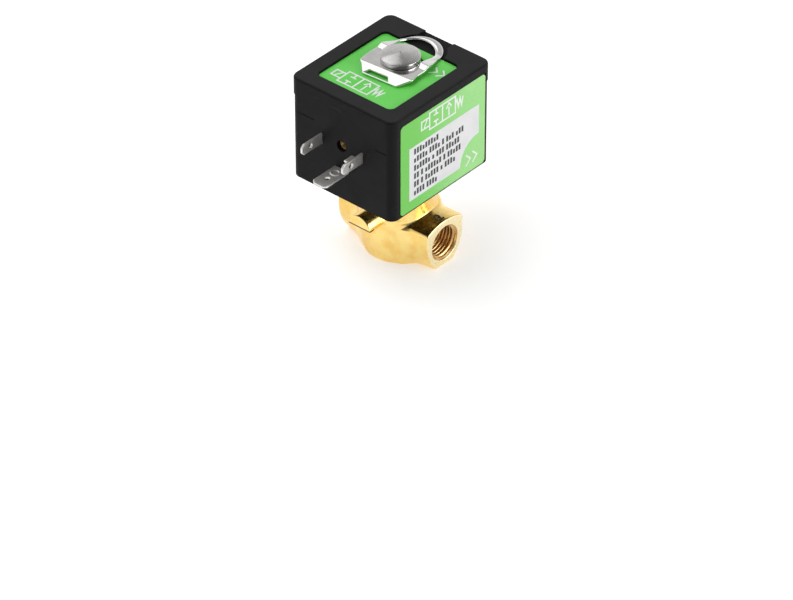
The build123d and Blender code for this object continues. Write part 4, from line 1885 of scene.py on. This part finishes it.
@dataclass
class Print:
    """What is printed on the labels: a valve symbol, a data panel with rows, and small chevrons.

    Each stroke of a drawing lies lower than the one before by step, so that no two faces coincide.
    """

    film: float = 0.02
    sunk: float = 0.03
    top_z: float = 73.5
    side_x: float = 22.65
    coil_z: float = 34.3
    stroke: float = 0.6
    step: float = 0.0012

    def on_panel(self, panel: Panel, points: Array) -> Array:
        """Moves flat print onto its label: (u, v, height) to the top or to the +X side.

        Args:
            panel: The label.
            points: Print as (u, v, height), with u to the reader's right and v upwards.

        Returns:
            The points in the frame of the part.
        """
        u, v, height = points.T
        if panel is Panel.TOP:
            return np.column_stack([u, v, self.top_z + height])
        return np.column_stack([self.side_x + height, u, self.coil_z + v])

    def line(self, points: Sequence[tuple[float, float]], closed: bool = False) -> Shape:
        """One printed stroke along a line of points."""
        left, right = ribbon(np.array(points, dtype=float), self.stroke, closed)
        return loft_flat(left, right, -self.sunk, self.film, closed)

    def strokes(self, lines: Sequence[Shape]) -> Shape:
        """Joins strokes, each a little lower than the one before."""
        steps = enumerate(lines)
        return joined([(points - [0.0, 0.0, self.step * index], faces) for index, (points, faces) in steps])

    def block(self, u: float, v: float, width: float, height: float, level: float) -> Shape:
        """One printed block.

        Args:
            u: Its left side.
            v: Its lower side.
            width: Its width.
            height: Its height.
            level: How far it lies over the film.

        Returns:
            Vertices and faces.
        """
        left = np.array([(u, v + height), (u + width, v + height)])
        right = np.array([(u, v), (u + width, v)])
        return loft_flat(left, right, level - self.sunk, level + self.film, False)

    def valve_symbol(self, u: float, v: float, size: float) -> Shape:
        """The drafting symbol of a two-way solenoid valve, in a plain outline.

        Two squares stand side by side, one with blocked ports and one with an arrow; a barred
        solenoid box is on the left and a zigzag spring on the right.

        Args:
            u: Left end of the symbol.
            v: Its lower edge.
            size: Height of the squares.

        Returns:
            Vertices and faces.
        """
        s = size
        a, b, c = u + 0.62 * s, u + 1.62 * s, u + 2.62 * s
        barb = v + 0.58 * s
        square = [(a, v), (c, v), (c, v + s), (a, v + s)]
        coil = [(a, v + 0.25 * s), (u, v + 0.25 * s), (u, v + 0.75 * s), (a, v + 0.75 * s)]
        middle = (b + c) / 2
        shut = (a + b) / 2
        zigzag = [(c + 0.12 * s * i, v + s * (0.5 + (0.24 if i % 2 else -0.24))) for i in range(1, 6)]
        return self.strokes(
            [
                self.line(square, True),
                self.line(coil),
                self.line([(u + 0.2 * s, v + 0.3 * s), (a - 0.2 * s, v + 0.7 * s)]),
                self.line([(b, v), (b, v + s)]),
                self.line([(middle, v + 0.1 * s), (middle, v + 0.62 * s)]),
                self.line([(middle - 0.2 * s, barb), (middle, v + 0.86 * s), (middle + 0.2 * s, barb)]),
                self.line([(shut, v + 0.04 * s), (shut, v + 0.3 * s)]),
                self.line([(shut - 0.18 * s, v + 0.3 * s), (shut + 0.18 * s, v + 0.3 * s)]),
                self.line([(shut, v + 0.96 * s), (shut, v + 0.7 * s)]),
                self.line([(shut - 0.18 * s, v + 0.7 * s), (shut + 0.18 * s, v + 0.7 * s)]),
                self.line([(c, v + 0.5 * s), *zigzag]),
            ]
        )

    def chevrons(self, u: float, v: float, size: float) -> Shape:
        """Two chevrons that point along the flow.

        Args:
            u: Left end of the first one.
            v: Their lower ends.
            size: Their height.

        Returns:
            Vertices and faces.
        """
        starts = (u, u + 0.75 * size)
        return joined([self.line([(p, v), (p + 0.5 * size, v + size / 2), (p, v + size)]) for p in starts])

    def rows(
        self, u: float, v: float, lengths: Sequence[Sequence[int]], height: float, pitch: float
    ) -> Shape:
        """Rows of small upright blocks in groups, as plain stand-ins for a data table.

        Args:
            u: Left end of the rows.
            v: Foot of the top row.
            lengths: For each row, the number of blocks in each group.
            height: Height of a block.
            pitch: Distance between rows.

        Returns:
            Vertices and faces.
        """
        width, gap = 0.42 * height, 0.2 * height
        blocks = []
        for row, groups in enumerate(lengths):
            at = u
            for group, count in enumerate(groups):
                for index in range(count):
                    tall = 0.72 if (index * 7 + group * 3 + row * 5) % 4 == 1 else 1.0
                    blocks.append(self.block(at, v - row * pitch, width, height * tall, self.film))
                    at += width + gap
                at += 1.6 * gap
        return joined(blocks)

    def add(self, name: str, panel: Panel, shape: Shape, finish: bpy.types.Material) -> None:
        """Puts one print on its label.

        Args:
            name: Name of the piece.
            panel: The label.
            shape: The flat print.
            finish: Its ink.
        """
        placed = (self.on_panel(panel, shape[0]), shape[1])
        build_piece(name, placed, finish, 30, Body.COIL, "label_film")

    def data_panel(self) -> Shape:
        """The pale panel of the side label, with one corner rounded off by a hollow arc.

        Its lower edge is flat, then follows a quarter circle about the panel's lower right corner.

        Returns:
            Vertices and faces.
        """
        left, right, low, high, arc = -21.6, 14.2, 4.6, 25.8, 9.6
        steps = 24
        angle = np.linspace(math.pi, math.pi / 2, steps)
        u = np.concatenate([[left], right + arc * np.cos(angle)])
        lower = np.concatenate([[low], low + arc * np.sin(angle)])
        lower[1] = low
        top = np.column_stack([u, np.full(len(u), high)])
        return loft_flat(top, np.column_stack([u, lower]), -self.sunk, self.film, False)

    def build(self) -> None:
        """Prints both labels."""
        white = WHITE_INK.material()
        self.add("top_print_symbol", Panel.TOP, self.valve_symbol(-13.8, -21.2, 6.6), white)
        self.add("top_print_chevrons", Panel.TOP, self.chevrons(10.4, 2.2, 4.2), white)
        self.add("side_print_symbol", Panel.SIDE, self.valve_symbol(-15.4, 28.6, 6.6), white)
        self.add("side_print_chevrons", Panel.SIDE, self.chevrons(7.6, 3.6, 4.6), white)
        self.add("side_print_panel", Panel.SIDE, self.data_panel(), PANEL_INK.material())
        lengths = ((9,), (5, 4, 1, 3, 3), (6, 1, 3, 5), (2, 1, 6, 1, 5), (2, 1, 5, 1, 4), (4, 4))
        rows = self.rows(-19.2, 22.4, lengths, 2.3, 3.3)
        self.add("side_print_rows", Panel.SIDE, rows, BLACK_INK.material())


@dataclass
class Coil:
    """The moulded coil with everything that turns with it."""

    edge_break: float = 0.16

    def build(self) -> None:
        """Builds the housing, the blades and the print, and dresses the labels and the inside."""
        housing = softened_copy("coil_housing", "moulded_housing", self.edge_break, MOULDING.material())
        place(housing, Body.COIL, "black_moulding", ["coil_housing"])
        PlugBlades().build()
        green = GREEN_FILM.material()
        dress("top_label", green)
        dress("side_label", SIDE_FILM.material())
        Print().build()
        iron = SOFT_IRON.material()
        for node in ("yoke", "lower_sleeve", "upper_sleeve"):
            dress(node, iron)
        dress("bobbin", NYLON.material())
        wire = Winding().material()
        dress("winding", wire)
        dress("winding_leads", wire)
        dress("winding_tape", Wrap().material())


# ---- Studio -------------------------------------------------------------------------------------
@dataclass(frozen=True)
class Lamp:
    """A square soft lamp that faces the part, with its place and size in metres and its power in W.

    A lamp that isn't mirrored gives light but can't be seen in a reflection.
    """

    name: str
    place: tuple[float, float, float]
    size: float
    power: float
    mirrored: bool = True

    def build(self, target: tuple[float, float, float]) -> None:
        """Hangs the lamp and turns it to a point.

        Args:
            target: The point, in metres.
        """
        light = bpy.data.lights.new(self.name, "AREA")
        light.shape = "SQUARE"
        light.size = self.size
        light.energy = self.power
        lamp = bpy.data.objects.new(self.name, light)
        lamp.location = self.place
        lamp.visible_glossy = self.mirrored
        way = np.subtract(target, self.place)
        flat = math.hypot(way[0], way[1])
        lamp.rotation_euler = (math.atan2(flat, -way[2]), 0.0, math.atan2(-way[0], way[1]))
        bpy.context.scene.collection.objects.link(lamp)


@dataclass
class Studio:
    """A pale floor, soft light and the camera.

    Places and the floor are in metres, angles in radians, lens and sensor in millimetres. The sky's
    strength is sky_low at the horizon and sky_high overhead. In the direction screen_way it sinks
    to screen_share of that, between the two cosines screen_low and screen_high. The floor_lift is
    the light that the floor gives off itself.
    """

    camera_place: tuple[float, float, float] = (0.931279, -1.076303, 1.023367)
    camera_azimuth: float = 0.7142081
    camera_elevation: float = 0.6347569
    lens: float = 231.45
    sensor: float = 36.0
    clip_near: float = 0.05
    clip_far: float = 50.0
    floor_half: float = 4.0
    floor_tone: Colour = (0.86, 0.86, 0.86)
    floor_lift: float = 0.42
    sky_low: float = 1.15
    sky_high: float = 0.15
    screen_way: tuple[float, float, float] = (0.58, -0.67, 0.46)
    screen_low: float = 0.55
    screen_high: float = 0.93
    screen_share: float = 0.2
    target: tuple[float, float, float] = (0.0, -0.004, 0.045)

    def build_camera(self) -> None:
        """Places the camera and turns it by its azimuth and elevation."""
        data = bpy.data.cameras.new("studio_camera")
        data.lens = self.lens
        data.sensor_width = self.sensor
        data.clip_start = self.clip_near
        data.clip_end = self.clip_far
        camera = bpy.data.objects.new("studio_camera", data)
        camera.location = self.camera_place
        camera.rotation_euler = (math.pi / 2 - self.camera_elevation, 0.0, self.camera_azimuth)
        bpy.context.scene.collection.objects.link(camera)
        bpy.context.scene.camera = camera

    def build_floor(self) -> None:
        """A wide pale floor; what it gives off itself shows to the camera, in mirrors and in glass."""
        half = self.floor_half
        corners = [(-half, -half, 0.0), (half, -half, 0.0), (half, half, 0.0), (-half, half, 0.0)]
        mesh = bpy.data.meshes.new("studio_floor")
        mesh.from_pydata(corners, [], [(0, 1, 2, 3)])
        floor = bpy.data.objects.new("studio_floor", mesh)
        bpy.context.scene.collection.objects.link(floor)
        material = bpy.data.materials.new("studio_floor")
        material.use_nodes = True
        nodes = Nodes(material.node_tree)
        nodes.tree.nodes.clear()
        diffuse = nodes.node("ShaderNodeBsdfDiffuse", {}, {"Color": (*self.floor_tone, 1.0)})
        ray = nodes.node("ShaderNodeLightPath").outputs
        seen = nodes.math("MAXIMUM", ray["Is Camera Ray"], ray["Is Glossy Ray"])
        seen = nodes.math("MAXIMUM", seen, ray["Is Transmission Ray"])
        lift = nodes.math("MULTIPLY", seen, self.floor_lift)
        glow = nodes.node("ShaderNodeEmission", {}, {"Strength": lift})
        total = nodes.node("ShaderNodeAddShader", {}, {0: diffuse.outputs[0], 1: glow.outputs[0]})
        nodes.node("ShaderNodeOutputMaterial", {}, {"Surface": total.outputs[0]})
        mesh.materials.append(material)

    def build_world(self) -> None:
        """A plain sky, brighter at the horizon than overhead, with a dark screen on one side."""
        world = bpy.data.worlds.new("studio_sky")
        world.use_nodes = True
        bpy.context.scene.world = world
        nodes = Nodes(world.node_tree)
        way = nodes.node("ShaderNodeTexCoord").outputs["Generated"]
        height = nodes.node("ShaderNodeSeparateXYZ", {}, {0: way}).outputs["Z"]
        sockets = {"Value": height, "To Min": self.sky_low, "To Max": self.sky_high}
        light = nodes.node("ShaderNodeMapRange", {}, sockets).outputs[0]
        near = nodes.node("ShaderNodeVectorMath", {"operation": "DOT_PRODUCT"}, {0: way, 1: self.screen_way})
        screen = nodes.span(near.outputs["Value"], self.screen_low, self.screen_high, 1.0, self.screen_share)
        sky = nodes.tree.nodes["Background"]
        nodes.feed(sky.inputs["Color"], (1.0, 1.0, 1.0, 1.0))
        nodes.feed(sky.inputs["Strength"], nodes.math("MULTIPLY", light, screen))

    def build(self) -> None:
        """Sets up the whole studio."""
        bpy.context.scene.view_settings.view_transform = "Standard"
        self.build_camera()
        self.build_floor()
        self.build_world()
        for lamp in LAMPS:
            lamp.build(self.target)
        LOG.info("studio ready with %d lamps", len(LAMPS))


STAMP = Compound("stamped_number", (0.020, 0.011, 0.004), (0.10, 0.06, 0.02), (0.35, 0.5), 0.004)
LAMPS = (
    Lamp("key_lamp", (-0.73, 0.18, 1.16), 0.8, 2.0),
    Lamp("fill_lamp", (-0.45, -0.55, 1.4), 1.2, 9.5, False),
    Lamp("side_lamp", (1.35, 0.45, 0.32), 1.1, 12.0),
)


def main() -> None:
    """Builds every sub-assembly and the studio."""
    logging.basicConfig(level=logging.INFO, format="%(message)s")
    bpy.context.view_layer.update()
    for assembly in (ForgedBody(), SolenoidBase(), Coil(), SpringClip(), Studio()):
        LOG.info("building %s", type(assembly).__name__)
        assembly.build()


if __name__ == "__main__":
    main()
